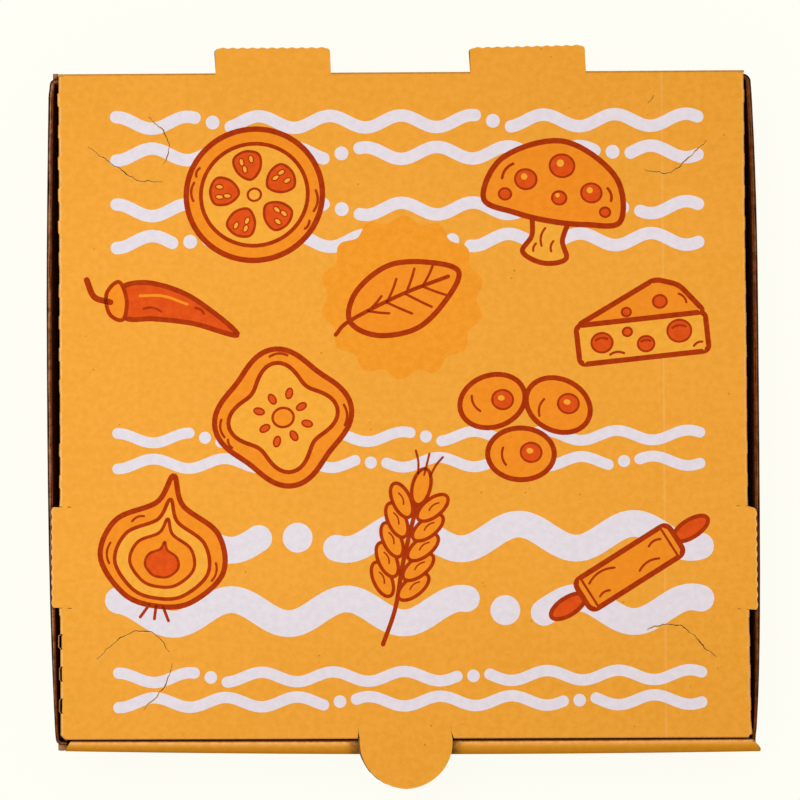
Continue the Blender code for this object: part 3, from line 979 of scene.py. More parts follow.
@dataclass
class FrontWall:
    """Front wall, up and rolled over to the inside, highest at its inner edge, its middle bowed forward."""

    top: float
    inner: tuple[float, float] = (-140.25 * MM, -140.95 * MM)
    outer: tuple[float, float] = (-144.8 * MM, -146.6 * MM)
    foot: float = -144.9 * MM
    bow: float = 1.3 * MM
    inner_bow: float = 0.35 * MM
    roll_drop: float = 3.2 * MM
    inner_radius: float = 0.8 * MM
    left_end: float = -145.3 * MM
    left_slant: float = 0.58
    right_end: float = 151.4 * MM
    right_slant: float = 0.82
    blunt: float = 4.2 * MM
    foot_radius: float = 2.0 * MM
    inner_hem: float = 9.0 * MM
    tongue_half: float = 21.0 * MM
    # Painted shadow of the tongue on the roll beside it, painted shade inside the roll, and painted shading of the
    # upright face.
    tongue_shadow_reach: float = 5.5 * MM
    tongue_shadow_depth: float = 0.85
    inside_shade: float = 0.7
    face_shading: float = 0.4

    FOOT: ClassVar[int] = 6
    CLIMB: ClassVar[int] = 4
    ROLL: ClassVar[int] = 12
    CROWN: ClassVar[int] = 4
    HEM: ClassVar[int] = 4
    # Painted shading down the roll as it turns from the light, a painted highlight along the crown, and painted shade
    # at the shoulder.
    ROLL_SHADING: ClassVar[Array] = np.array([0.85, 0.85, 0.85, 0.82, 0.8, 0.78, 0.74, 0.68, 0.55, 0.32, 0.08, 0.0])
    CROWN_HIGHLIGHT: ClassVar[Array] = np.array([0.35, 0.9, 0.9, 0.5])
    SHOULDER_SHADE: ClassVar[Array] = np.array([0.2, 0.35, 0.3, 0.1])

    @classmethod
    def from_frame(cls) -> "FrontWall":
        """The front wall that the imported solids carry."""
        return cls(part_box("front_wall")[1].z)

    @staticmethod
    def face(share: Array, ends: tuple[float, float], bow: float) -> Array:
        """Place of a long face at each station: straight between its ends, with a bow 1 - (2 share - 1)^2."""
        return np.interp(share, [0.0, 1.0], ends) - bow * (1.0 - (2.0 * share - 1.0) ** 2)

    def section(self, share: Array) -> tuple[Array, Array, Array]:
        """Section of the outer face at each station, from under the floor over the roll to the inner hem.

        The roll is a quarter ellipse, roll_drop high, that falls outwards from the inner crown.

        Args:
            share: Station along the wall, 0 at its left end and 1 at its right end.

        Returns:
            y and z, stations by steps, and how far the inner layers may lie behind each step, 0 to 1.
        """
        outer = self.face(share, self.outer, self.bow)[:, None]
        inner = self.face(share, self.inner, self.inner_bow)[:, None]
        ones = np.ones((len(share), 1))
        angle = np.linspace(0.0, 0.5 * np.pi, self.FOOT)
        roll = np.linspace(0.0, 0.5 * np.pi, self.ROLL)
        turn = np.linspace(0.0, 0.5 * np.pi, self.CROWN + 1)[1:]
        climb = np.linspace(0.0, 1.0, self.CLIMB + 2)[1:-1]
        crown = inner - self.inner_radius
        shoulder = self.top - self.roll_drop
        hem = np.linspace(self.top - self.inner_radius, self.inner_hem, self.HEM + 1)[1:]
        y = [
            ones * (self.foot + self.foot_radius * (1.0 - np.sin(angle))),
            self.foot + (outer - self.foot) * climb,
            crown - (crown - outer) * np.cos(roll),
            crown + self.inner_radius * np.sin(turn),
            inner * np.ones(self.HEM),
        ]
        z = [
            self.foot_radius * (1.0 - np.cos(angle)),
            self.foot_radius + (shoulder - self.foot_radius) * climb,
            self.top - self.roll_drop * (1.0 - np.sin(roll)),
            self.top - self.inner_radius * (1.0 - np.cos(turn)),
            hem,
        ]
        tight = np.linspace(0.9, 0.45, self.ROLL // 2)
        full = self.FOOT + self.CLIMB + self.ROLL - len(tight)
        room = [np.ones(full), tight, np.full(self.CROWN, 0.3), np.ones(self.HEM)]
        return np.concatenate(y, axis=1), ones * np.concatenate(z), np.concatenate(room)

    def layer(self, stations: Array, depth: Array) -> Surface:
        """A layer of the rolled board: the section moved inwards along its own normal by the depth.

        Args:
            stations: Share of the way from the left end to the right end.
            depth: Depth below the outer face at each station.

        Returns:
            The layer, with a painted highlight along its crown, painted shadow of the tongue on the roll beside it,
            painted shade at its shoulder and inside, and painted shading down the roll.
        """
        y, z, room = self.section(stations)
        dy, dz = np.gradient(y, axis=1), np.gradient(z, axis=1)
        length = np.hypot(dy, dz)
        behind = depth[:, None] * room[None, :]
        y, z = y + behind * dz / length, z - behind * dy / length
        forward = np.minimum(self.face(stations, self.inner, self.inner_bow)[:, None] - y, self.blunt)
        left = self.left_end - self.left_slant * forward
        right = self.right_end + self.right_slant * forward
        x = left + (right - left) * stations[:, None]
        crown = self.FOOT + self.CLIMB + self.ROLL
        # Painted highlight along the crown of the roll.
        wear = np.zeros_like(y)
        wear[:, crown - 2 : crown + 2] = self.CROWN_HIGHLIGHT
        shoulder = self.FOOT + self.CLIMB
        rolled = np.zeros(y.shape[1])
        rolled[shoulder - 1 : crown + 2] = 1.0
        # Painted shadow of the tongue on the roll beside it.
        beside = np.clip(np.abs(x) - self.tongue_half, 0.0, None)
        grime = self.tongue_shadow_depth * (1.0 - ease(0.0, self.tongue_shadow_reach, beside)) * rolled
        # Painted shade at the shoulder and inside the roll.
        shade = np.zeros(y.shape[1])
        shade[shoulder - 2 : shoulder + 2] = self.SHOULDER_SHADE
        shade[crown + 1 :] = self.inside_shade
        grime = np.maximum(grime, shade[None, :])
        # Painted shading down the roll and on the upright face.
        tone = np.full(y.shape[1], self.face_shading)
        tone[shoulder:crown] = self.ROLL_SHADING
        tone[crown:] = 0.0
        points = np.stack([x, y, z], axis=-1)
        return Surface(points, wear=wear * (1.0 - grime), grime=grime, tone=tone[None, :], flipped=True)

    def build(self, shop: Workshop, paints: "Paints") -> None:
        """Makes the wall's liners and medium."""
        inside = paints.inner_liner
        stations = np.linspace(0.0, 1.0, 200)
        outer = self.layer(stations, np.zeros_like(stations))
        finish = (paints.printed_wall, paints.cut_edge_highlit, inside)
        shop.sheet("front_wall_liner", [outer], BOARD.liner, finish, Slot.PRINTED, ("front_wall",))
        length = self.right_end - self.left_end
        fine = np.linspace(0.001, 0.999, 8 * round(length / BOARD.flute_pitch))
        medium = self.layer(fine, BOARD.wave(fine * length))
        shop.sheet("front_wall_medium", [medium], BOARD.medium, (paints.medium,), Slot.RAW)
        inner = self.layer(stations, np.full_like(stations, BOARD.inner_depth))
        shop.sheet("front_wall_inner_liner", [inner], BOARD.liner, (inside, paints.cut_edge, inside), Slot.RAW)


@dataclass
class RearWall:
    """Rear wall below the hinge crease, with the windows that the tabs left."""

    lid: Lid
    top: float
    half_width: float = 148.2 * MM
    foot_radius: float = 2.0 * MM

    def surface(self, depth: Array, columns: Array, is_tab: Array) -> Surface:
        """A sheet of the wall between its rounded foot and its top or the sill of a window.

        Args:
            depth: Depth below the outer face of each column.
            columns: x of the columns, from the left.
            is_tab: Which columns run up to a sill.

        Returns:
            The sheet, with its outer face outwards.
        """
        angle = np.linspace(0.0, 0.5 * np.pi, 6)
        share = np.array([0.25, 0.5, 0.75, 0.9, 1.0])
        sill = self.top - self.lid.tab_reach(columns) + 0.5 * self.lid.wave_depth
        end = np.where(is_tab, sill, self.top)
        foot = np.broadcast_to(self.foot_radius * (1.0 - np.cos(angle))[:, None], (len(angle), len(columns)))
        z = np.concatenate([foot, self.foot_radius + (end - self.foot_radius)[None, :] * share[:, None]])
        inwards = np.concatenate([self.foot_radius * (1.0 - np.sin(angle)), np.zeros(len(share))])[:, None]
        y = self.lid.rear - inwards - np.broadcast_to(depth[None, :], z.shape)
        x = np.broadcast_to(columns[None, :], z.shape)
        wear = np.zeros_like(z)
        wear[-1] = np.where(is_tab, 0.6, 0.0)
        return Surface(np.stack([x, y, z], axis=-1), wear=wear, flipped=True)

    def build(self, shop: Workshop, paints: "Paints") -> None:
        """Makes the wall's two liners and its medium."""
        columns = self.lid.columns()
        within = columns.aside == 0
        ends = np.array([self.half_width])
        x = np.concatenate([-ends, columns.at[within], ends])
        tab = np.concatenate([[False], columns.kind[within] == Line.TAB, [False]])
        cut, inside = paints.cut_edge, paints.inner_liner
        outer = self.surface(np.zeros_like(x), x, tab)
        finish = (paints.printed_wall, cut, inside)
        shop.sheet("rear_wall_liner", [outer], BOARD.liner, finish, Slot.PRINTED, ("rear_wall",))
        fine = np.arange(-self.half_width, self.half_width, BOARD.flute_pitch / 8.0)
        in_tab = (np.abs(fine) > self.lid.tab_inner) & (np.abs(fine) < self.lid.tab_outer)
        medium = self.surface(BOARD.wave(fine), fine, in_tab)
        shop.sheet("rear_wall_medium", [medium], BOARD.medium, (paints.medium,), Slot.RAW)
        inner = self.surface(np.full_like(x, BOARD.inner_depth), x, tab)
        shop.sheet("rear_wall_inner_liner", [inner], BOARD.liner, (inside, cut, inside), Slot.RAW)


@dataclass
class Base:
    """Floor panel with its printed underside, and the closed inside of the shut box."""

    half_width: float = 149.6 * MM
    front: float = -142.9 * MM
    rear: float = 148.2 * MM
    thickness: float = 2.0 * MM
    crease_depth: float = 0.25 * MM
    crease_width: float = 2.5 * MM

    def build(self, shop: Workshop, paints: "Paints") -> None:
        """Makes the floor panel, with a shallow crease along its edges, and the inside block."""
        x = np.linspace(-self.half_width, self.half_width, 60)
        y = np.linspace(self.front, self.rear, 60)
        grid_x, grid_y = np.meshgrid(x, y)
        edge = np.minimum(self.half_width - np.abs(grid_x), np.minimum(grid_y - self.front, self.rear - grid_y))
        z = self.crease_depth * (1.0 - ease(0.0, self.crease_width, edge))
        floor = Surface(np.stack([grid_x, grid_y, z], axis=-1), flipped=True)
        finish = (paints.printed_wall, paints.cut_edge, paints.inner_liner)
        shop.sheet("floor_panel", [floor], self.thickness - self.crease_depth, finish, Slot.PRINTED, ("base",))
        low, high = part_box("base")
        clear = np.array([2.2 * MM, 3.4 * MM])
        foot = (low.x + clear[0], low.y + clear[1], self.thickness)
        head = (high.x - clear[0], high.y - clear[1], high.z - 0.4 * MM)
        inside = block(foot, head, 0.8 * MM)
        shop.sheet("closed_inside", inside, 1.5 * MM, (paints.inner_liner,), Slot.RAW, weld=True)


@dataclass(frozen=True)
class Stroke:
    """A line of ink: a path in millimetres, its width, whether it closes on itself, and its height."""

    path: Array
    width: float
    ink: Ink = Ink.OUTLINE
    wrapped: bool = False
    lift: float = 0.0

    def rows(self) -> tuple[Array, Array]:
        """Middle line and half width of the stroke, with round ends on an open one."""
        path = self.path
        half = np.full(len(path), 0.5 * self.width)
        if self.wrapped:
            return path, half
        angle = np.radians([12.0, 32.0, 52.0, 72.0])
        start, end = path[0] - path[1], path[-1] - path[-2]
        start, end = start / np.linalg.norm(start), end / np.linalg.norm(end)
        reach = 0.5 * self.width * np.cos(angle)[:, None]
        cap = 0.5 * self.width * np.sin(angle)
        middle = np.concatenate([path[0] + start * reach, path, (path[-1] + end * reach)[::-1]])
        return middle, np.concatenate([cap, half, cap[::-1]])

    def grid(self) -> Array:
        """Points of the ribbon: the middle line and its two edges, moved along the path's normal.

        In a bend tighter than half the width, the inner edge stops short of the bend's centre.
        """
        middle, half = self.rows()
        if self.wrapped:
            along = 0.5 * (np.roll(middle, -1, axis=0) - np.roll(middle, 1, axis=0))
            turning_in = 0.5 * (np.roll(along, -1, axis=0) - np.roll(along, 1, axis=0))
        else:
            along = np.gradient(middle, axis=0)
            turning_in = np.gradient(along, axis=0)
        step = np.linalg.norm(along, axis=1)
        bend = (along[:, 0] * turning_in[:, 1] - along[:, 1] * turning_in[:, 0]) / step**3
        normal = np.column_stack([-along[:, 1], along[:, 0]]) / step[:, None]
        left = np.minimum(half, 0.85 / np.maximum(bend, 1e-6))
        right = np.minimum(half, 0.85 / np.maximum(-bend, 1e-6))
        offset = np.column_stack([left, np.zeros_like(half), -right])
        return middle[:, None, :] + normal[:, None, :] * offset[..., None]


@dataclass(frozen=True)
class Field:
    """A flat area of ink inside a closed path, filled by rungs between its halves, or by rings if wrapped."""

    path: Array
    ink: Ink
    wrapped: bool = False
    lift: float = 0.0

    def grid(self) -> Array:
        """Points of the fill.

        Rung i runs from point i to the point as far from the path's other end. A ring is the path shrunk
        towards its middle.
        """
        if self.wrapped:
            middle = self.path.mean(axis=0)
            return middle + (self.path - middle)[:, None, :] * np.linspace(0.0, 1.0, 7)[None, :, None]
        half = len(self.path) // 2
        near, far = self.path[:half], self.path[::-1][:half]
        share = np.linspace(0.0, 1.0, 9)[None, :, None]
        return near[:, None, :] + (far - near)[:, None, :] * share


Mark = Stroke | Field
Coat = list[Mark]


def turning(degrees: float) -> Array:
    """The matrix that turns points anticlockwise by this angle."""
    angle = np.radians(degrees)
    return np.array([[np.cos(angle), -np.sin(angle)], [np.sin(angle), np.cos(angle)]])


def ellipse(centre: tuple[float, float], radii: tuple[float, float], points: int = 48, turn: float = 0.0) -> Array:
    """A closed ellipse, turned about its own centre.

    Args:
        centre: Its centre.
        radii: Its two radii.
        points: How many points it has.
        turn: Its turn in degrees.

    Returns:
        Its points, anticlockwise, starting half a step before the first axis.
    """
    angle = 2.0 * np.pi * (np.arange(points) + 0.5) / points
    local = np.column_stack([radii[0] * np.cos(angle), radii[1] * np.sin(angle)])
    return local @ turning(turn).T + np.array(centre)


def lobed(radius: float, depth: float, lobes: int, points: int = 84) -> Array:
    """A closed curve r = radius (1 + depth cos(lobes a)), with a lobe straight up."""
    angle = 2.0 * np.pi * (np.arange(points) + 0.5) / points
    reach = radius * (1.0 + depth * np.cos(lobes * (angle - 0.5 * np.pi)))
    return np.column_stack([np.cos(angle), np.sin(angle)]) * reach[:, None]


def rounded(corners: Sequence[tuple[float, float]], radius: float) -> Array:
    """A closed polygon with rounded corners, each a parabola between points this far along its two sides."""
    corner = np.array(corners, float)
    before, after = np.roll(corner, 1, axis=0) - corner, np.roll(corner, -1, axis=0) - corner
    start = corner + radius * before / np.linalg.norm(before, axis=1)[:, None]
    end = corner + radius * after / np.linalg.norm(after, axis=1)[:, None]
    t = np.linspace(0.0, 1.0, 7)[None, :, None]
    return ((1 - t) ** 2 * start[:, None] + 2 * t * (1 - t) * corner[:, None] + t**2 * end[:, None]).reshape(-1, 2)


def curve(knots: Sequence[tuple[float, float]], closed: bool = False, points: int = 12) -> Array:
    """A smooth curve through the knots, each span a cubic whose end slopes follow the neighbours.

    Args:
        knots: Points that it passes.
        closed: Whether it closes.
        points: Points for each span.

    Returns:
        Points of the curve.
    """
    knot = np.array(knots, float)
    if closed:
        padded = np.concatenate([knot[-1:], knot, knot[:2]])
    else:
        padded = np.concatenate([2 * knot[:1] - knot[1:2], knot, 2 * knot[-1:] - knot[-2:-1]])
    before, start, end, after = padded[:-3], padded[1:-2], padded[2:-1], padded[3:]
    t = ((np.arange(points) + (0.5 if closed else 0.0)) / points)[None, :, None]
    slope_in, slope_out = 0.5 * (end - before)[:, None], 0.5 * (after - start)[:, None]
    start, end = start[:, None], end[:, None]
    spans = (
        (2 * t**3 - 3 * t**2 + 1) * start + (t**3 - 2 * t**2 + t) * slope_in
        + (3 * t**2 - 2 * t**3) * end + (t**3 - t**2) * slope_out
    ).reshape(-1, 2)
    return spans if closed else np.vstack([spans, knot[-1:]])


def outlined(path: Array, fill: Ink, width: float = 2.1) -> Coat:
    """A filled shape with a dark outline."""
    return [Field(path, fill), Stroke(path, width, wrapped=True)]


def spot(x: float, y: float, radius: float) -> Coat:
    """A red spot with a thin dark rim."""
    return outlined(ellipse((x, y), (radius, 0.92 * radius), 28), Ink.RED, 0.9)


def rim_dash(radius: float, angle: float, length: float, width: float = 1.1) -> Stroke:
    """A short line along a round rim, at this radius and angle in degrees."""
    place = turning(angle) @ np.array([radius, 0.0])
    return dash(float(place[0]), float(place[1]), length, angle - 90.0, width)


def dash(x: float, y: float, length: float, turn: float, width: float = 1.0) -> Stroke:
    """A short curved line about this middle."""
    share = np.linspace(-0.5, 0.5, 9)
    path = np.column_stack([share * length, 0.14 * length * (1.0 - 4.0 * share**2)])
    return Stroke(path @ turning(turn).T + np.array([x, y]), width)


@dataclass(frozen=True)
class Motif:
    """A line drawing on the lid, in millimetres round its own centre, then turned, sized and placed."""

    centre: tuple[float, float]
    turn: float = 0.0
    scale: float = 1.0

    LOWEST: ClassVar[float] = 0.05
    STEP: ClassVar[float] = 0.016

    def coats(self) -> list[Coat]:
        """The strokes and fields of the drawing, each coat over the one before."""
        raise NotImplementedError

    def placed(self) -> Coat:
        """The marks on the lid, each coat a hair above the last, and in a coat the lines above the fields."""
        matrix = self.scale * turning(self.turn).T
        marks: Coat = []
        for number, coat in enumerate(self.coats()):
            for mark in coat:
                level = 2 * number + isinstance(mark, Stroke)
                path = mark.path @ matrix + np.array(self.centre)
                marks.append(replace(mark, path=path, lift=self.LOWEST + self.STEP * level))
        return marks


class TomatoSlice(Motif):
    """A round slice with a rim and five seed chambers."""

    def coats(self) -> list[Coat]:
        """Two circles, with five drop-shaped chambers of seeds inside."""
        lobe = curve([(6.0, 0.0), (9.5, 4.4), (15.0, 5.0), (17.2, 0.0), (15.0, -5.0), (9.5, -4.4)], True, 7)
        chambers: Coat = []
        seeds: Coat = []
        for angle in 90.0 + 72.0 * np.arange(5):
            turn = turning(angle).T
            chambers += outlined(lobe @ turn, Ink.RED, 1.1)
            for x, y in ((10.4, 1.5), (13.8, -1.7), (13.4, 2.2)):
                seeds += outlined(ellipse((x, y), (1.5, 0.9), 14) @ turn, Ink.GROUND, 0.5)
        dashes = ((165, 7), (146, 3.5), (-18, 8), (-42, 3.5))
        rim = [rim_dash(23.6, angle, length) for angle, length in dashes]
        core = [Stroke(ellipse((0.0, 0.0), (2.6, 2.4), 20), 1.0, wrapped=True)]
        return [
            outlined(ellipse((0, 0), (26.5, 25.5), 72), Ink.ORANGE, 2.4),
            outlined(ellipse((0, 0), (20.8, 19.8), 64), Ink.GROUND, 1.7),
            chambers + rim + core,
            seeds,
        ]


class Mushroom(Motif):
    """A cap on a stem."""

    def coats(self) -> list[Coat]:
        """A domed cap with spots above a waisted stem."""
        stem = curve([(0, -3), (-7, -4), (-6, -14), (-8.5, -21), (0, -24), (8.5, -21), (6, -14), (7, -4)], True, 9)
        dome = [(-27, -3), (-22, 14), (0, 24), (22, 14), (27, -3)]
        cap = curve([*dome, (14, -6.5), (0, -7.5), (-14, -6.5)], True, 9)
        places = ((-12, 7, 4.2), (1, 14.5, 4.8), (14, 6, 4.0), (2, 2, 2.8), (-19, 0, 2.4), (20.5, -0.5, 2.0))
        spots = [mark for x, y, radius in places for mark in spot(x, y, radius)]
        dots: Coat = []
        for x, y, radius in places[:4]:
            dots.append(Field(ellipse((x - 0.8, y + 0.9), (0.3 * radius, 0.3 * radius), 14), Ink.GROUND))
        hatch = [dash(-1.5, -14.0, 7.0, 88.0), dash(2.5, -17.0, 4.0, 88.0), dash(-4.2, -18.5, 3.0, 80.0)]
        rim = [dash(-19.5, 9.0, 7.0, 62.0, 1.2), dash(21.0, 6.5, 5.0, -65.0, 1.2)]
        return [outlined(stem, Ink.GROUND, 2.2), outlined(cap, Ink.ORANGE, 2.4) + hatch, spots + rim, dots]


class Leaf(Motif):
    """A basil leaf with a midrib, on a pale scalloped badge."""

    def coats(self) -> list[Coat]:
        """A pointed oval with ribs that turn up, over r = 34 (1 + 0.05 cos 14a)."""
        upper = [(-25, 0), (-17, 10.5), (0, 15), (16, 9.5)]
        blade = curve([*upper, (27, 0), (16, -9.5), (0, -15), (-17, -10.5)], True, 9)
        ribs: Coat = [Stroke(curve([(-33, -3), (-25, 0), (0, 1.2), (22, 0)]), 1.7)]
        for x in (-16.0, -7.0, 2.0, 10.0):
            for sign in (-1.0, 1.0):
                tip = sign * (9.2 - 0.02 * x**2)
                ribs.append(Stroke(curve([(x, 0.6), (x + 4.5, 0.55 * tip), (x + 8.0, tip)], False, 6), 1.1))
        badge = Field(lobed(34.0, 0.05, 14, 168), Ink.PALE_ORANGE, True)
        return [[badge], outlined(blade, Ink.ORANGE, 2.3), ribs]


class Chilli(Motif):
    """A curved chilli with a cap and a stalk."""

    def coats(self) -> list[Coat]:
        """A tapering crescent, its highlight and its stalk."""
        back = [(-19, 9), (-12, 13), (-1, 11.5), (13, 3.5)]
        pod = curve([*back, (28, -13), (11, -6), (-4, -2), (-15, 0)], True, 9)
        cap = curve([(-21, 10.5), (-15.5, 14.5), (-13.5, 7), (-16, -0.5), (-21, 2.5)], True, 8)
        streak = Stroke(curve([(-8, 7.8), (1, 6.4), (10, 1.8)]), 1.2, Ink.ORANGE)
        shine: Coat = [streak, dash(14.5, -1.5, 4.0, -42.0)]
        stalk: Coat = [Stroke(curve([(-20, 7), (-26, 10), (-28, 17)]), 2.6), dash(-4.0, 1.5, 7.0, -18.0)]
        return [outlined(pod, Ink.RED, 2.2), stalk + outlined(cap, Ink.ORANGE, 1.7), shine]


class CheeseWedge(Motif):
    """A wedge of cheese with holes."""

    def coats(self) -> list[Coat]:
        """A slanted top face above an upright face, both with holes."""
        top = rounded([(-28.0, 2.0), (28.0, 2.0), (18.0, 15.0), (8.0, 18.5)], 3.0)
        face = rounded([(-28.5, -15.0), (28.0, -15.0), (28.0, 2.0), (-28.5, 2.0)], 3.0)
        places = ((-18, -6.5, 4.6), (1, -9.0, 3.6), (16, -5.0, 5.2), (-6.5, -3.0, 2.0), (9, 8.6, 3.0), (-6, 5.6, 2.0))
        holes = [mark for x, y, radius in places for mark in spot(x, y, radius)]
        shade: Coat = [dash(x, y + 0.3 * radius, 1.1 * radius, 0.0) for x, y, radius in places[:3]]
        hatch = [dash(-12, -12.0, 6.0, 0.0), dash(23.5, -11.5, 4.0, 20.0), dash(19.0, 9.0, 5.0, -55.0)]
        return [outlined(face, Ink.GROUND, 2.3), outlined(top, Ink.ORANGE, 2.3), holes + hatch, shade]


class Olives(Motif):
    """Three olives with their stuffing showing."""

    def coats(self) -> list[Coat]:
        """Three ovals with the stuffing hole of each."""
        places = ((-13, 8.5, 25.0), (13.5, 9.5, -20.0), (0.5, -11.5, 5.0))
        ovals = [outlined(ellipse((x, y), (13.4, 10.4), 44, turn), Ink.ORANGE, 2.2) for x, y, turn in places]
        holes: Coat = []
        shine: Coat = []
        for x, y, turn in places:
            holes += spot(x + 4.0, y + 1.0, 4.2) + [dash(x - 6.5, y - 1.6, 7.0, 100.0 + turn)]
            shine.append(Field(ellipse((x + 3.4, y + 1.6), (1.4, 1.1), 14), Ink.GROUND))
        return [*ovals, holes, shine]


class Onion(Motif):
    """A bulb cut in half, with its layers."""

    def coats(self) -> list[Coat]:
        """Nested drop shapes, each smaller than the last."""
        outer = curve([(0, 28), (-5, 17), (-20, 8), (-24, -7), (-13, -20), (0, -23), (13, -20), (24, -7), (20, 8),
                       (5, 17)], True, 8)
        shift = np.array([0.0, -2.5])
        roots: Coat = [Stroke(np.array([[x * 0.5, -23.0], [x, -28.0]]), 1.3) for x in (-5.5, 0.0, 5.5)]
        arcs = [dash(-20.6, -5.0, 8.0, 94.0), dash(20.4, -7.0, 7.0, -96.0), dash(-11.5, 9.6, 5.0, 32.0)]
        return [
            roots + outlined(outer, Ink.ORANGE, 2.3),
            outlined(outer * 0.76 + shift, Ink.GROUND, 1.6) + arcs,
            outlined(outer * 0.52 + 1.4 * shift, Ink.ORANGE, 1.4),
            outlined(outer * 0.27 + 2.2 * shift, Ink.RED, 1.1),
        ]


class PepperRing(Motif):
    """A ring of bell pepper."""

    def coats(self) -> list[Coat]:
        """A four-lobed band round a core with seeds about it."""
        seeds: Coat = []
        for index in range(8):
            angle = 45.0 * index + 22.5
            place = turning(angle) @ np.array([9.8 if index % 2 else 8.4, 0.0])
            seeds += outlined(ellipse((float(place[0]), float(place[1])), (2.1, 1.3), 16, angle), Ink.RED, 0.7)
        dashes = ((24.2, 182.0, 7.0), (23.4, 198.0, 3.5), (24.4, 86.0, 7.0), (24.2, -6.0, 8.0))
        band = [rim_dash(*place) for place in dashes]
        return [
            outlined(lobed(25.0, 0.09, 4), Ink.ORANGE, 2.3),
            outlined(lobed(18.6, 0.17, 4), Ink.GROUND, 1.8) + band,
            seeds + outlined(ellipse((0.0, 0.0), (4.2, 3.8), 24), Ink.ORANGE, 1.1),
        ]


class Wheat(Motif):
    """An ear of wheat."""

    def coats(self) -> list[Coat]:
        """Pairs of grains up a stalk, with a grain at the tip and awns beyond it."""
        coats: list[Coat] = [[Stroke(curve([(0, -36), (1.4, -20), (0, 0), (0, 26)]), 1.9)]]
        for y in -13.0 + 8.4 * np.arange(5):
            pair: Coat = []
            for sign in (-1.0, 1.0):
                pair += outlined(ellipse((sign * 6.6, y + 3.0), (7.6, 3.7), 30, sign * 52.0), Ink.ORANGE, 1.5)
            coats.append(pair + [dash(sign * 7.0, y + 3.6, 5.0, sign * 52.0, 0.7) for sign in (-1.0, 1.0)])
        tip = outlined(ellipse((0, 31), (3.7, 7.6), 30), Ink.ORANGE, 1.5)
        awns: Coat = []
        for x in (-2.5, 0.0, 2.5):
            awns.append(Stroke(curve([(x, 36), (1.5 * x, 41), (2.3 * x, 45)], False, 5), 0.9))
        return coats + [awns + tip]


class RollingPin(Motif):
    """A rolling pin."""

    def coats(self) -> list[Coat]:
        """A long rounded roller between two knobbed handles."""
        roller = rounded([(-24.0, -7.6), (24.0, -7.6), (24.0, 7.6), (-24.0, 7.6)], 3.6)
        handles: Coat = []
        for sign in (-1.0, 1.0):
            handles += outlined(ellipse((sign * 31.5, 0.0), (8.6, 3.8), 36), Ink.RED, 1.8)
        lines = ((-12, 3.4, 13.0), (8, -3.6, 10.0), (15, 3.2, 6.0), (-15, -3.8, 5.0))
        grain = [dash(x, y, length, 0.0) for x, y, length in lines]
        bands: Coat = [Stroke(np.array([[x, -6.8], [x, 6.8]]), 1.0) for x in (-20.5, 20.5)]
        return [handles, outlined(roller, Ink.ORANGE, 2.3), grain + bands]


@dataclass(frozen=True)
class WavyRow:
    """Two white wavy lines in place of a row of words, broken into runs with a dot in each gap.

    Attributes:
        y: Middle of the row.
        apart: Half of the distance between the two lines.
        height: How far the waves swing.
        width: Width of the lines.
        gaps: Middle of each gap on the upper and on the lower line.
        wave: Length of a wave.
    """

    y: float
    apart: float
    height: float
    width: float
    gaps: tuple[tuple[float, ...], tuple[float, ...]]
    wave: float = 31.0

    START: ClassVar[float] = -124.0
    END: ClassVar[float] = 129.0
    LIFT: ClassVar[float] = 0.03

    def marks(self) -> Coat:
        """Each run is y = h cos(2 pi x / wave), the two lines half a wave out of step."""
        marks: Coat = []
        reach = 1.45 * self.width
        for line, gaps in enumerate(self.gaps):
            middle = self.y + self.apart * (1 - 2 * line)
            starts = np.array([self.START, *(gap + reach for gap in gaps)])
            ends = np.array([*(gap - reach for gap in gaps), self.END])
            for start, end in zip(starts, ends):
                x = np.linspace(start, end, max(4, round((end - start) / 1.8)))
                y = middle + self.height * np.cos(2.0 * np.pi * x / self.wave + np.pi * line)
                marks.append(Stroke(np.column_stack([x, y]), self.width, Ink.WHITE, lift=self.LIFT))
            for gap in gaps:
                dot = ellipse((gap, middle), (0.56 * self.width, 0.56 * self.width), 28)
                marks.append(Field(dot, Ink.WHITE, lift=self.LIFT))
        return marks


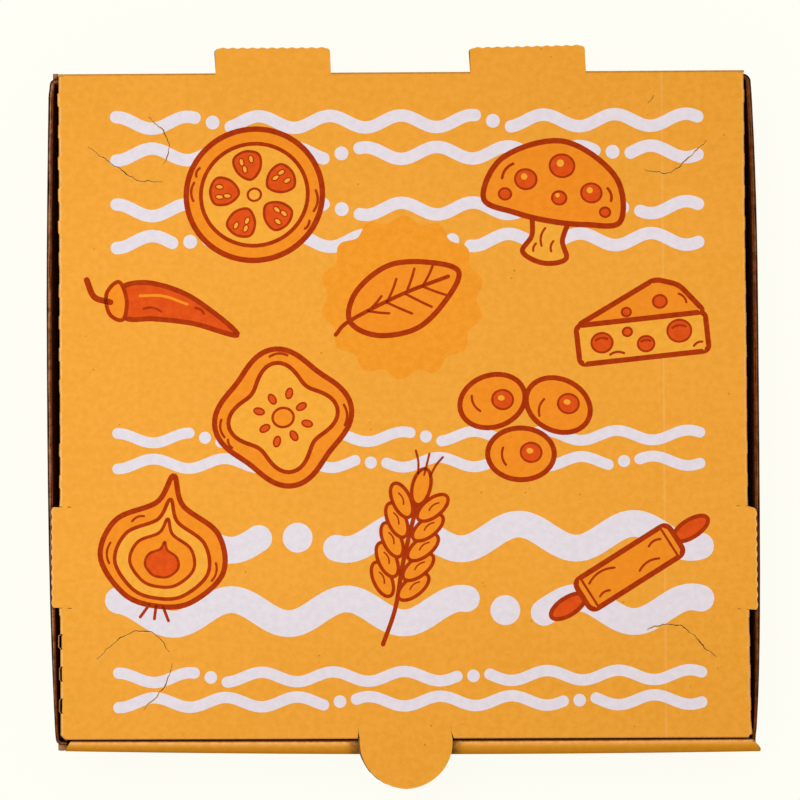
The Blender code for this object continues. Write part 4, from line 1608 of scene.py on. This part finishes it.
@dataclass
class LidPrint:
    """All of the print on the lid, as thin sheets of ink that follow its relief."""

    lid: Lid
    ink_thickness: float = 0.34 * MM

    def rows(self) -> list[WavyRow]:
        """The five white rows, from the rear to the front."""
        return [
            WavyRow(121.7, 6.9, 2.6, 5.4, ((-82.0, 40.0), (-26.0, 92.0))),
            WavyRow(83.6, 6.9, 2.6, 5.4, ((-26.0, 96.0), (-92.0, 22.0))),
            WavyRow(-14.2, 5.6, 2.1, 4.7, ((-86.0, 10.0), (-14.0, 96.0))),
            WavyRow(-68.2, 16.0, 5.3, 11.6, ((-46.0,), (44.0,)), 50.0),
            WavyRow(-118.0, 5.4, 2.1, 4.9, ((-84.0, 30.0), (-28.0, 76.0))),
        ]

    def motifs(self) -> list[Motif]:
        """The line drawings, in staggered rows."""
        return [
            TomatoSlice((-64.0, 97.0), 12.0, 1.12),
            Mushroom((66.0, 93.0), -10.0, 1.12),
            Chilli((-104.0, 46.0), 8.0, 1.1),
            Leaf((0.0, 52.0), 24.0, 1.0),
            CheeseWedge((104.0, 40.0), 6.0, 1.0),
            PepperRing((-52.0, 0.0), 8.0, 1.1),
            Olives((52.0, -4.0), -6.0, 1.08),
            Onion((-104.0, -56.0), -8.0, 1.12),
            Wheat((0.0, -62.0), -14.0, 1.05),
            RollingPin((98.0, -66.0), 32.0, 1.0),
        ]

    def surface(self, mark: Mark) -> Surface:
        """One mark as a sheet just above the lid's relief."""
        flat = mark.grid() * MM
        across, along = np.diff(flat, axis=1)[:-1], np.diff(flat, axis=0)[:, :-1]
        area = (across[..., 0] * along[..., 1] - across[..., 1] * along[..., 0]).sum()
        return Surface(self.lid.over(flat, mark.lift * MM), flipped=bool(area < 0.0), wrapped=mark.wrapped)

    def build(self, shop: Workshop, paints: "Paints") -> None:
        """Makes one piece for each ink."""
        marks = [mark for row in self.rows() for mark in row.marks()]
        for motif in self.motifs():
            marks += motif.placed()
        for ink in Ink:
            surfaces = [self.surface(mark) for mark in marks if mark.ink is ink]
            name = f"print_{ink.value}"
            shop.sheet(name, surfaces, self.ink_thickness, (paints.inks[ink],), Slot.PRINTED, weld=True)


@dataclass
class CornerCuts:
    """Hairline vent cuts in the corners of the lid, where the sheet has begun to crack, drawn as ribbons of painted
    shadow with a painted highlight along the lip of each.
    """

    lid: Lid
    width: float = 0.42
    lift: float = 0.14 * MM
    highlight_width: float = 0.5
    highlight_shift: float = 0.34
    ply: float = 0.1 * MM

    REAR_LEFT: ClassVar[tuple] = (
        ((-136.2, 118.2), (-129.0, 113.0), (-121.0, 107.5), (-114.5, 103.5), (-104.0, 103.0)),
        ((-110.0, 131.0), (-103.5, 125.0), (-101.0, 117.0), (-103.5, 110.5)),
    )
    REAR_RIGHT: ClassVar[tuple] = (
        ((133.0, 119.5), (126.5, 113.5), (118.0, 106.0), (112.0, 105.6), (105.5, 107.0)),
        ((107.5, 136.0), (110.5, 139.0)),
    )
    FRONT_LEFT: ClassVar[tuple] = (
        ((-133.5, -104.5), (-124.0, -96.0), (-115.5, -92.3), (-107.5, -94.2), (-102.0, -101.5)),
        ((-100.5, -106.5), (-104.5, -117.0), (-113.5, -126.5)),
    )
    FRONT_RIGHT: ClassVar[tuple] = (
        ((105.5, -93.0), (110.5, -91.2), (119.0, -91.2), (124.5, -94.6), (130.0, -100.0)),
        ((126.5, -96.5), (131.0, -101.5), (135.5, -105.0)),
    )

    def paths(self) -> list[Array]:
        """Each cut as a wandering line, in millimetres."""
        cuts = self.REAR_LEFT + self.REAR_RIGHT + self.FRONT_LEFT + self.FRONT_RIGHT
        return [curve(knots, False, 9) for knots in cuts]

    def surfaces(self, offset: float, width: float, lift: float) -> list[Surface]:
        """The cuts as tapering ribbons.

        Args:
            offset: Shift towards the front, in millimetres.
            width: Greatest width, in millimetres.
            lift: Height above the relief, in metres.

        Returns:
            One surface for each cut.
        """
        surfaces = []
        for number, path in enumerate(self.paths()):
            tangent = np.gradient(path, axis=0)
            step = np.linalg.norm(tangent, axis=1)
            along = np.cumsum(step)
            jitter = 0.35 * drift(along * MM, 40 + number, 7.0 * MM)
            tangent /= step[:, None]
            normal = np.column_stack([-tangent[:, 1], tangent[:, 0]])
            middle = path + normal * jitter[:, None] + np.array([0.0, -offset])
            share = np.linspace(0.0, 1.0, len(path))
            uneven = 0.75 + 0.35 * drift(along * MM, 70 + number, 11.0 * MM)
            half = 0.5 * width * np.clip(uneven, 0.25, 1.1) * np.sin(np.pi * (0.06 + 0.88 * share)) ** 0.6
            sides = np.array([1.0, -1.0])
            flat = (middle[:, None, :] + normal[:, None, :] * (half[:, None] * sides)[..., None]) * MM
            surfaces.append(Surface(self.lid.over(flat, lift)))
        return surfaces

    def build(self, shop: Workshop, paints: "Paints") -> None:
        """Makes the cuts' painted shadow and the painted highlight along the lip of each."""
        lips = self.surfaces(self.highlight_shift, self.highlight_width, self.lift - 0.01 * MM)
        shop.sheet("corner_cut_highlights", lips, self.ply, (paints.cut_lip_highlight,), Slot.PRINTED)
        cuts = self.surfaces(0.0, self.width, self.lift)
        shop.sheet("corner_cuts", cuts, self.ply, (paints.cut_shadow,), Slot.RAW)


class NodeBench:
    """Places nodes in a tree and links them, so that a material reads as one list."""

    def __init__(self, tree: bpy.types.NodeTree) -> None:
        """Works on this tree."""
        self.tree = tree

    def add(self, kind: str, inputs: dict[str | int, object] | None = None, **settings: object) -> bpy.types.Node:
        """A node with its settings, its inputs set or linked.

        Args:
            kind: The node's type.
            inputs: A value or an output socket for each input.
            **settings: Properties of the node.

        Returns:
            The node.
        """
        node = self.tree.nodes.new(kind)
        for name, value in settings.items():
            setattr(node, name, value)
        for name, value in (inputs or {}).items():
            if isinstance(value, bpy.types.NodeSocket):
                self.tree.links.new(value, node.inputs[name])
            else:
                node.inputs[name].default_value = value
        return node

    def group(self, tree: bpy.types.NodeTree, vector: object) -> bpy.types.Node:
        """A node of this group, reading these coordinates."""
        return self.add("ShaderNodeGroup", {"Vector": vector}, node_tree=tree)

    def mix(self, share: object, first: object, second: object, blend: str = "MIX") -> bpy.types.NodeSocket:
        """The colour that lies this share of the way from the first to the second, or to their product."""
        ends = {0: share, 6: first, 7: second}
        return self.add("ShaderNodeMix", ends, data_type="RGBA", blend_type=blend).outputs[2]

    def maths(self, operation: str, first: object, second: object = 0.0) -> bpy.types.NodeSocket:
        """The result of a sum on two values."""
        return self.add("ShaderNodeMath", {0: first, 1: second}, operation=operation).outputs[0]

    def remap(
        self, value: object, low: float, high: float, start: float = 0.0, end: float = 1.0, kind: str = "SMOOTHSTEP"
    ) -> bpy.types.NodeSocket:
        """The value moved from low..high to start..end, and kept inside."""
        inputs = {0: value, 1: low, 2: high, 3: start, 4: end}
        return self.add("ShaderNodeMapRange", inputs, interpolation_type=kind).outputs[0]


def new_group(name: str, inputs: Sequence[tuple[str, str, float]], outputs: Sequence[tuple[str, str]]) -> tuple[
    bpy.types.NodeTree, NodeBench, bpy.types.Node, bpy.types.Node
]:
    """An empty shader node group with named sockets.

    Args:
        name: Its name.
        inputs: Name, type and default of each input.
        outputs: Name and type of each output.

    Returns:
        The group, a bench on it, and its input and output nodes.
    """
    tree = bpy.data.node_groups.new(name, "ShaderNodeTree")
    for label, kind, default in inputs:
        socket = tree.interface.new_socket(name=label, in_out="INPUT", socket_type=kind)
        if kind == "NodeSocketFloat":
            socket.default_value = default
    for label, kind in outputs:
        tree.interface.new_socket(name=label, in_out="OUTPUT", socket_type=kind)
    bench = NodeBench(tree)
    return tree, bench, bench.add("NodeGroupInput"), bench.add("NodeGroupOutput")


@dataclass
class Effects:
    """The node groups that the finishes share."""

    mottle: bpy.types.NodeTree = field(init=False)
    wear_and_painted_light: bpy.types.NodeTree = field(init=False)
    washboard: bpy.types.NodeTree = field(init=False)
    painted_shading: bpy.types.NodeTree = field(init=False)

    def __post_init__(self) -> None:
        """Builds each group once."""
        self.mottle = self.make_mottle()
        self.wear_and_painted_light = self.make_wear_and_painted_light()
        self.washboard = self.make_washboard()
        self.painted_shading = self.make_painted_shading()

    def make_mottle(self) -> bpy.types.NodeTree:
        """Cloudy blotches, fine grain and dark specks of fibre in a sheet of paper."""
        outputs = [(label, "NodeSocketFloat") for label in ("Blotches", "Grain", "Specks", "Height")]
        inputs = [("Vector", "NodeSocketVector", 0.0), ("Blotches per metre", "NodeSocketFloat", 330.0)]
        tree, bench, start, end = new_group("paper_mottle", inputs, outputs)
        place, rate = start.outputs["Vector"], start.outputs["Blotches per metre"]
        cloud = bench.add("ShaderNodeTexNoise", {"Vector": place, "Scale": rate, "Detail": 3.0, "Roughness": 0.62})
        large = bench.add("ShaderNodeTexNoise", {"Vector": place, "Scale": 30.0, "Detail": 2.0, "Roughness": 0.5})
        fine = bench.add("ShaderNodeTexNoise", {"Vector": place, "Scale": 1500.0, "Detail": 2.0, "Roughness": 0.7})
        spots = bench.add("ShaderNodeTexVoronoi", {"Vector": place, "Scale": 190.0, "Randomness": 1.0})
        pick = bench.add("ShaderNodeTexNoise", {"Vector": place, "Scale": 70.0, "Detail": 0.0})
        near = bench.remap(spots.outputs["Distance"], 0.05, 0.12, 1.0, 0.0)
        chosen = bench.remap(pick.outputs["Fac"], 0.62, 0.68)
        blend = bench.maths("ADD", bench.maths("MULTIPLY", cloud.outputs["Fac"], 0.84),
                            bench.maths("MULTIPLY", large.outputs["Fac"], 0.16))
        results = {
            "Blotches": bench.remap(blend, 0.34, 0.66),
            "Grain": fine.outputs["Fac"],
            "Specks": bench.maths("MULTIPLY", near, chosen),
            "Height": bench.maths("ADD", bench.maths("MULTIPLY", cloud.outputs["Fac"], 0.4),
                                  bench.maths("MULTIPLY", fine.outputs["Fac"], 0.6)),
        }
        for label, socket in results.items():
            tree.links.new(socket, end.inputs[label])
        return tree

    def make_wear_and_painted_light(self) -> bpy.types.NodeTree:
        """Rubbing of the print with a painted highlight, and painted shade: the piece's attributes of each, broken up
        by noise.
        """
        inputs = [("Vector", "NodeSocketVector", 0.0), ("Wear", "NodeSocketFloat", 1.0)]
        outputs = [("Worn", "NodeSocketFloat"), ("Grime", "NodeSocketFloat")]
        tree, bench, start, end = new_group("wear_and_painted_light", inputs, outputs)
        worn = bench.add("ShaderNodeAttribute", attribute_name="wear").outputs["Fac"]
        grime = bench.add("ShaderNodeAttribute", attribute_name="grime").outputs["Fac"]
        noise = bench.add("ShaderNodeTexNoise", {"Vector": start.outputs["Vector"], "Scale": 420.0, "Detail": 3.0})
        rubbed_and_highlit = bench.remap(noise.outputs["Fac"], 0.3, 0.66, 0.35, 1.0)
        shade_breakup = bench.remap(noise.outputs["Fac"], 0.34, 0.6, 1.0, 0.72)
        mask = bench.maths("MULTIPLY", bench.maths("MULTIPLY", worn, rubbed_and_highlit), start.outputs["Wear"])
        tree.links.new(mask, end.inputs["Worn"])
        tree.links.new(bench.maths("MULTIPLY", grime, shade_breakup), end.inputs["Grime"])
        return tree

    def make_painted_shading(self) -> bpy.types.NodeTree:
        """Painted shading: the piece's tone attribute, and a painted falloff of the light, darker to the right, rear
        and front.
        """
        inputs = [("Vector", "NodeSocketVector", 0.0)]
        tree, bench, start, end = new_group("painted_shading", inputs, [("Tone", "NodeSocketFloat")])
        tone = bench.add("ShaderNodeAttribute", attribute_name="tone").outputs["Fac"]
        split = bench.add("ShaderNodeSeparateXYZ", {0: start.outputs["Vector"]})
        x, y = split.outputs["X"], split.outputs["Y"]
        # Painted falloff of the light across the box.
        right = bench.remap(x, -0.12, 0.15, 0.0, 0.195, "LINEAR")
        rear = bench.remap(y, 0.06, 0.16, 0.0, 0.175)
        front = bench.remap(y, -0.15, -0.04, 0.163, 0.0)
        ends = bench.maths("ADD", rear, front)
        tree.links.new(bench.maths("ADD", bench.maths("ADD", tone, right), ends), end.inputs["Tone"])
        return tree

    def make_washboard(self) -> bpy.types.NodeTree:
        """Faint lines of the flutes under the liner, and a pale streak that the press left along one."""
        inputs = [("Vector", "NodeSocketVector", 0.0), ("Pitch", "NodeSocketFloat", 3.6 * MM),
                  ("Streak at", "NodeSocketFloat", 113.5 * MM)]
        outputs = [("Lines", "NodeSocketFloat"), ("Streak", "NodeSocketFloat")]
        tree, bench, start, end = new_group("washboard", inputs, outputs)
        split = bench.add("ShaderNodeSeparateXYZ", {0: start.outputs["Vector"]})
        turns = bench.maths("DIVIDE", split.outputs["X"], start.outputs["Pitch"])
        wave = bench.maths("COSINE", bench.maths("MULTIPLY", turns, 2.0 * np.pi))
        patch = bench.add("ShaderNodeTexNoise", {"Vector": start.outputs["Vector"], "Scale": 22.0, "Detail": 1.0})
        strength = bench.remap(patch.outputs["Fac"], 0.42, 0.62, 0.25, 1.0)
        away = bench.maths("ABSOLUTE", bench.maths("SUBTRACT", split.outputs["X"], start.outputs["Streak at"]))
        tree.links.new(bench.maths("MULTIPLY", wave, strength), end.inputs["Lines"])
        tree.links.new(bench.remap(away, 0.2 * MM, 0.7 * MM, 1.0, 0.0), end.inputs["Streak"])
        return tree


@dataclass(frozen=True)
class PaperFinish:
    """Finish of a paper surface, printed or raw.

    Attributes:
        name: Name of the material.
        light: Colour of the lighter blotches.
        dark: Colour of the darker blotches.
        worn: Colour of rubbing through the surface, and of the painted highlight.
        speck: Colour of the specks of fibre.
        shade_colour: Colour of the painted shade.
        wear: How strongly the rubbing and the painted highlight show.
        speck_share: How strongly the specks show.
        line_share: How strongly the flutes show in the colour.
        streak_share: How strongly the streak shows.
        shading_tint: What full painted shading multiplies the colour by.
        roughness: Roughness of the shader.
        specular: Specular level of the shader.
        relief: Height of the grain, in metres.
        washboard: Height of the flute lines, in metres.
    """

    name: str
    light: Colour
    dark: Colour
    worn: Colour
    speck: Colour
    shade_colour: Colour
    wear: float = 0.8
    speck_share: float = 0.5
    line_share: float = 0.0
    streak_share: float = 0.0
    shading_tint: tuple[float, float, float] = (0.67, 0.6, 0.27)
    roughness: float = 0.66
    specular: float = 0.03
    relief: float = 0.02 * MM
    washboard: float = 0.0

    def material(self, effects: Effects) -> bpy.types.Material:
        """The material, on Object coordinates and the attributes of rubbing and highlight, painted shade and painted
        shading.

        Args:
            effects: The shared node groups.

        Returns:
            The material.
        """
        material = bpy.data.materials.new(self.name)
        material.use_nodes = True
        tree = material.node_tree
        shader = tree.nodes["Principled BSDF"]
        shader.inputs["Roughness"].default_value = self.roughness
        shader.inputs["Specular IOR Level"].default_value = self.specular
        bench = NodeBench(tree)
        place = bench.add("ShaderNodeTexCoord").outputs["Object"]
        mottle = bench.group(effects.mottle, place)
        wear_and_painted_light = bench.group(effects.wear_and_painted_light, place)
        wear_and_painted_light.inputs["Wear"].default_value = self.wear
        painted_shading = bench.group(effects.painted_shading, place)
        lines = bench.group(effects.washboard, place)
        lines.inputs["Pitch"].default_value = BOARD.flute_pitch
        shade = bench.maths("MULTIPLY", lines.outputs["Lines"], self.line_share)
        grain = bench.remap(mottle.outputs["Grain"], 0.3, 0.7, -0.12, 0.12)
        share = bench.maths("ADD", bench.maths("ADD", mottle.outputs["Blotches"], shade), grain)
        colour = bench.mix(share, self.dark, self.light)
        specks = bench.maths("MULTIPLY", mottle.outputs["Specks"], self.speck_share)
        colour = bench.mix(specks, colour, self.speck)
        if self.streak_share:
            streak = bench.maths("MULTIPLY", lines.outputs["Streak"], self.streak_share)
            colour = bench.mix(streak, colour, self.worn)
        # Rubbing and painted highlight, then painted shading and painted shade.
        colour = bench.mix(wear_and_painted_light.outputs["Worn"], colour, self.worn)
        colour = bench.mix(painted_shading.outputs["Tone"], colour, (*self.shading_tint, 1.0), "MULTIPLY")
        colour = bench.mix(wear_and_painted_light.outputs["Grime"], colour, self.shade_colour)
        tree.links.new(colour, shader.inputs["Base Color"])
        height = bench.maths("ADD", bench.maths("MULTIPLY", mottle.outputs["Height"], self.relief),
                             bench.maths("MULTIPLY", lines.outputs["Lines"], self.washboard))
        bump = bench.add("ShaderNodeBump", {"Height": height, "Distance": 1.0, "Strength": 1.0})
        tree.links.new(bump.outputs["Normal"], shader.inputs["Normal"])
        return material


@dataclass
class Paints:
    """Every material of the box."""

    effects: Effects
    printed: bpy.types.Material = field(init=False)
    printed_wall: bpy.types.Material = field(init=False)
    cut_lip_highlight: bpy.types.Material = field(init=False)
    cut_edge: bpy.types.Material = field(init=False)
    cut_edge_warm: bpy.types.Material = field(init=False)
    cut_edge_highlit: bpy.types.Material = field(init=False)
    crushed: bpy.types.Material = field(init=False)
    crushed_dark: bpy.types.Material = field(init=False)
    cut_shadow: bpy.types.Material = field(init=False)
    inner_liner: bpy.types.Material = field(init=False)
    medium: bpy.types.Material = field(init=False)
    inks: dict[Ink, bpy.types.Material] = field(init=False)

    # Colours of painted shade on printed and on raw board.
    SHADE_BROWN: ClassVar[Colour] = srgb(88, 58, 30)
    DEEP_SHADE: ClassVar[Colour] = srgb(34, 17, 8)

    def __post_init__(self) -> None:
        """Makes the materials."""
        # The colour of rubbing through the print also serves the painted highlight.
        rubbed_and_highlit, fibre = srgb(255, 208, 150), srgb(150, 92, 30)
        board_light, board_dark = srgb(245, 168, 62), srgb(237, 161, 53)
        printed = PaperFinish("printed_board", board_light, board_dark, rubbed_and_highlit, fibre, self.SHADE_BROWN, line_share=0.05,
                              streak_share=0.16, washboard=0.006 * MM)
        self.printed = printed.material(self.effects)
        wall = PaperFinish("printed_wall", board_light, board_dark, rubbed_and_highlit, fibre, self.SHADE_BROWN, wear=0.6,
                           line_share=0.04, washboard=0.008 * MM)
        self.printed_wall = wall.material(self.effects)
        # Painted highlight along the lip of each corner cut.
        self.cut_lip_highlight = self.raw("cut_lip_highlight", (255, 196, 110), (240, 172, 80))
        self.cut_edge = self.raw("cut_edge", (78, 46, 27), (46, 25, 13))
        self.cut_edge_warm = self.raw("cut_edge_warm", (128, 64, 24), (90, 42, 14))
        # Lighter cut edge: painted highlight on the cut edges of the lid and of the front wall.
        self.cut_edge_highlit = self.raw("cut_edge_highlit", (168, 134, 108), (132, 100, 76))
        self.crushed = self.raw("crushed_medium", (178, 124, 88), (128, 80, 50))
        self.crushed_dark = self.raw("crushed_medium_dark", (136, 82, 46), (100, 58, 28))
        self.cut_shadow = self.raw("cut_shadow", (96, 62, 20), (60, 36, 10))
        self.inner_liner = self.raw("inner_liner", (112, 58, 24), (76, 38, 14))
        self.medium = self.raw("medium", (164, 120, 92), (116, 76, 50))
        self.inks = {
            Ink.WHITE: self.ink("ink_white", (230, 222, 228), (223, 215, 221), (0.87, 0.78, 0.76)),
            Ink.GROUND: self.ink("ink_ground", (248, 173, 62), (240, 165, 53)),
            Ink.ORANGE: self.ink("ink_orange", (245, 146, 38), (239, 139, 31)),
            Ink.PALE_ORANGE: self.ink("ink_pale_orange", (246, 157, 45), (238, 149, 37)),
            Ink.RED: self.ink("ink_red", (228, 86, 24), (216, 76, 17)),
            Ink.OUTLINE: self.ink("ink_outline", (178, 58, 10), (164, 47, 4)),
        }

    def raw(self, name: str, light: tuple[int, int, int], dark: tuple[int, int, int]) -> bpy.types.Material:
        """An unprinted, fibrous surface between two screen colours."""
        tone, shade = srgb(*light), srgb(*dark)
        finish = PaperFinish(name, tone, shade, tone, shade, self.DEEP_SHADE, roughness=0.88, relief=0.05 * MM, wear=0.3)
        return finish.material(self.effects)

    def ink(
        self,
        name: str,
        light: tuple[int, int, int],
        dark: tuple[int, int, int],
        shading_tint: tuple[float, float, float] = PaperFinish.shading_tint,
    ) -> bpy.types.Material:
        """Ink on the board, whose blotches show through it."""
        tone, shade = srgb(*light), srgb(*dark)
        finish = PaperFinish(name, tone, shade, tone, shade, self.SHADE_BROWN, speck_share=0.3, shading_tint=shading_tint, roughness=0.6,
                             wear=0.0, washboard=0.006 * MM)
        return finish.material(self.effects)


@dataclass
class Studio:
    """Plain pale floor, soft light, and the camera that looks straight down as the photograph does."""

    aim: tuple[float, float] = (-1.17 * MM, 7.3 * MM)
    distance: float = 1.25
    tilt: float = 0.88
    roll: float = -0.346
    image_width: float = 347.7 * MM
    sensor: float = 36.0
    floor_size: float = 6.0
    backdrop: Colour = (1.0, 0.992, 0.913, 1.0)
    zenith: float = 0.95
    horizon: float = 0.34
    lamp_place: tuple[float, float, float] = (-0.55, 0.55, 1.9)
    lamp_size: float = 1.3
    lamp_power: float = 13.0
    glow: float = 0.94
    faint: Colour = (0.065, 0.065, 0.06, 1.0)
    matte: Colour = (0.34, 0.34, 0.33, 1.0)
    daylight: Colour = (1.0, 0.995, 0.985, 1.0)

    def camera(self, lid_top: float) -> None:
        """The camera above the lid, leaning a little from the front, turned by the roll."""
        data = bpy.data.cameras.new("camera")
        data.sensor_width = self.sensor
        data.lens = self.sensor * self.distance / self.image_width
        camera = bpy.data.objects.new("camera", data)
        bpy.context.scene.collection.objects.link(camera)
        lean = np.radians(self.tilt)
        target = Vector((self.aim[0], self.aim[1], lid_top))
        camera.location = target + Vector((0.0, -np.sin(lean), np.cos(lean))) * self.distance
        turn = Matrix.Rotation(lean, 4, "X") @ Matrix.Rotation(np.radians(self.roll), 4, "Z")
        camera.rotation_euler = turn.to_euler()
        bpy.context.scene.camera = camera

    def floor(self) -> None:
        """A pale floor. What the camera sees of it glows evenly, with a faint shadow, and lights the box."""
        half = 0.5 * self.floor_size
        ends = np.array([-half, half])
        grid_x, grid_y = np.meshgrid(ends, ends)
        level = Surface(np.stack([grid_x, grid_y, 0.0 * grid_x], -1))
        floor = bpy.data.objects.new("floor", mesh_of("floor", [level]))
        bpy.context.scene.collection.objects.link(floor)
        material = bpy.data.materials.new("pale_floor")
        material.use_nodes = True
        tree = material.node_tree
        tree.nodes.clear()
        bench = NodeBench(tree)
        glow = bench.add("ShaderNodeEmission", {"Color": self.backdrop, "Strength": self.glow})
        faint = bench.add("ShaderNodeBsdfDiffuse", {"Color": self.faint})
        matte = bench.add("ShaderNodeBsdfDiffuse", {"Color": self.matte})
        seen = bench.add("ShaderNodeAddShader", {0: glow.outputs[0], 1: faint.outputs[0]})
        path = bench.add("ShaderNodeLightPath").outputs["Is Camera Ray"]
        both = bench.add("ShaderNodeMixShader", {0: path, 1: matte.outputs[0], 2: seen.outputs[0]})
        bench.add("ShaderNodeOutputMaterial", {"Surface": both.outputs[0]})
        floor.data.materials.append(material)

    def sky(self) -> None:
        """A sky that is bright overhead and dimmer towards the horizon, and looks like the floor to the camera."""
        world = bpy.data.worlds.new("studio")
        bpy.context.scene.world = world
        world.use_nodes = True
        tree = world.node_tree
        tree.nodes.clear()
        bench = NodeBench(tree)
        direction = bench.add("ShaderNodeTexCoord").outputs["Generated"]
        height = bench.add("ShaderNodeSeparateXYZ", {0: direction}).outputs["Z"]
        strength = bench.remap(height, 0.0, 1.0, self.horizon, self.zenith)
        light = bench.add("ShaderNodeBackground", {"Color": self.daylight, "Strength": strength})
        plain = bench.add("ShaderNodeBackground", {"Color": self.backdrop, "Strength": 1.0})
        path = bench.add("ShaderNodeLightPath").outputs["Is Camera Ray"]
        both = bench.add("ShaderNodeMixShader", {0: path, 1: light.outputs[0], 2: plain.outputs[0]})
        bench.add("ShaderNodeOutputWorld", {"Surface": both.outputs[0]})

    def lamp(self) -> None:
        """A large soft lamp high up behind the left corner."""
        light = bpy.data.lights.new("soft_lamp", "AREA")
        light.shape = "DISK"
        light.size = self.lamp_size
        light.energy = self.lamp_power
        holder = bpy.data.objects.new("soft_lamp", light)
        holder.location = self.lamp_place
        holder.rotation_euler = Vector(self.lamp_place).to_track_quat("Z", "Y").to_euler()
        bpy.context.scene.collection.objects.link(holder)

    def build(self, lid_top: float) -> None:
        """Sets up the camera, the floor and the light."""
        self.camera(lid_top)
        self.floor()
        self.sky()
        self.lamp()
        bpy.context.scene.view_settings.view_transform = "Standard"


def main() -> None:
    """Builds the box from its lid down, then the print and the studio."""
    logging.basicConfig(level=logging.INFO, format="%(name)s: %(message)s")
    shop = Workshop()
    paints = Paints(Effects())
    lid = Lid.from_frame()
    lid.build(shop, paints)
    SideWall.left().build(shop, paints)
    SideWall.right().build(shop, paints)
    CornerTucks().build(shop, paints)
    FrontWall.from_frame().build(shop, paints)
    RearWall(lid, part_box("rear_wall")[1].z).build(shop, paints)
    Base().build(shop, paints)
    LidPrint(lid).build(shop, paints)
    CornerCuts(lid).build(shop, paints)
    Studio().build(lid.top)
    LOG.info("made %d pieces", len(shop.made))


if __name__ == "__main__":
    main()
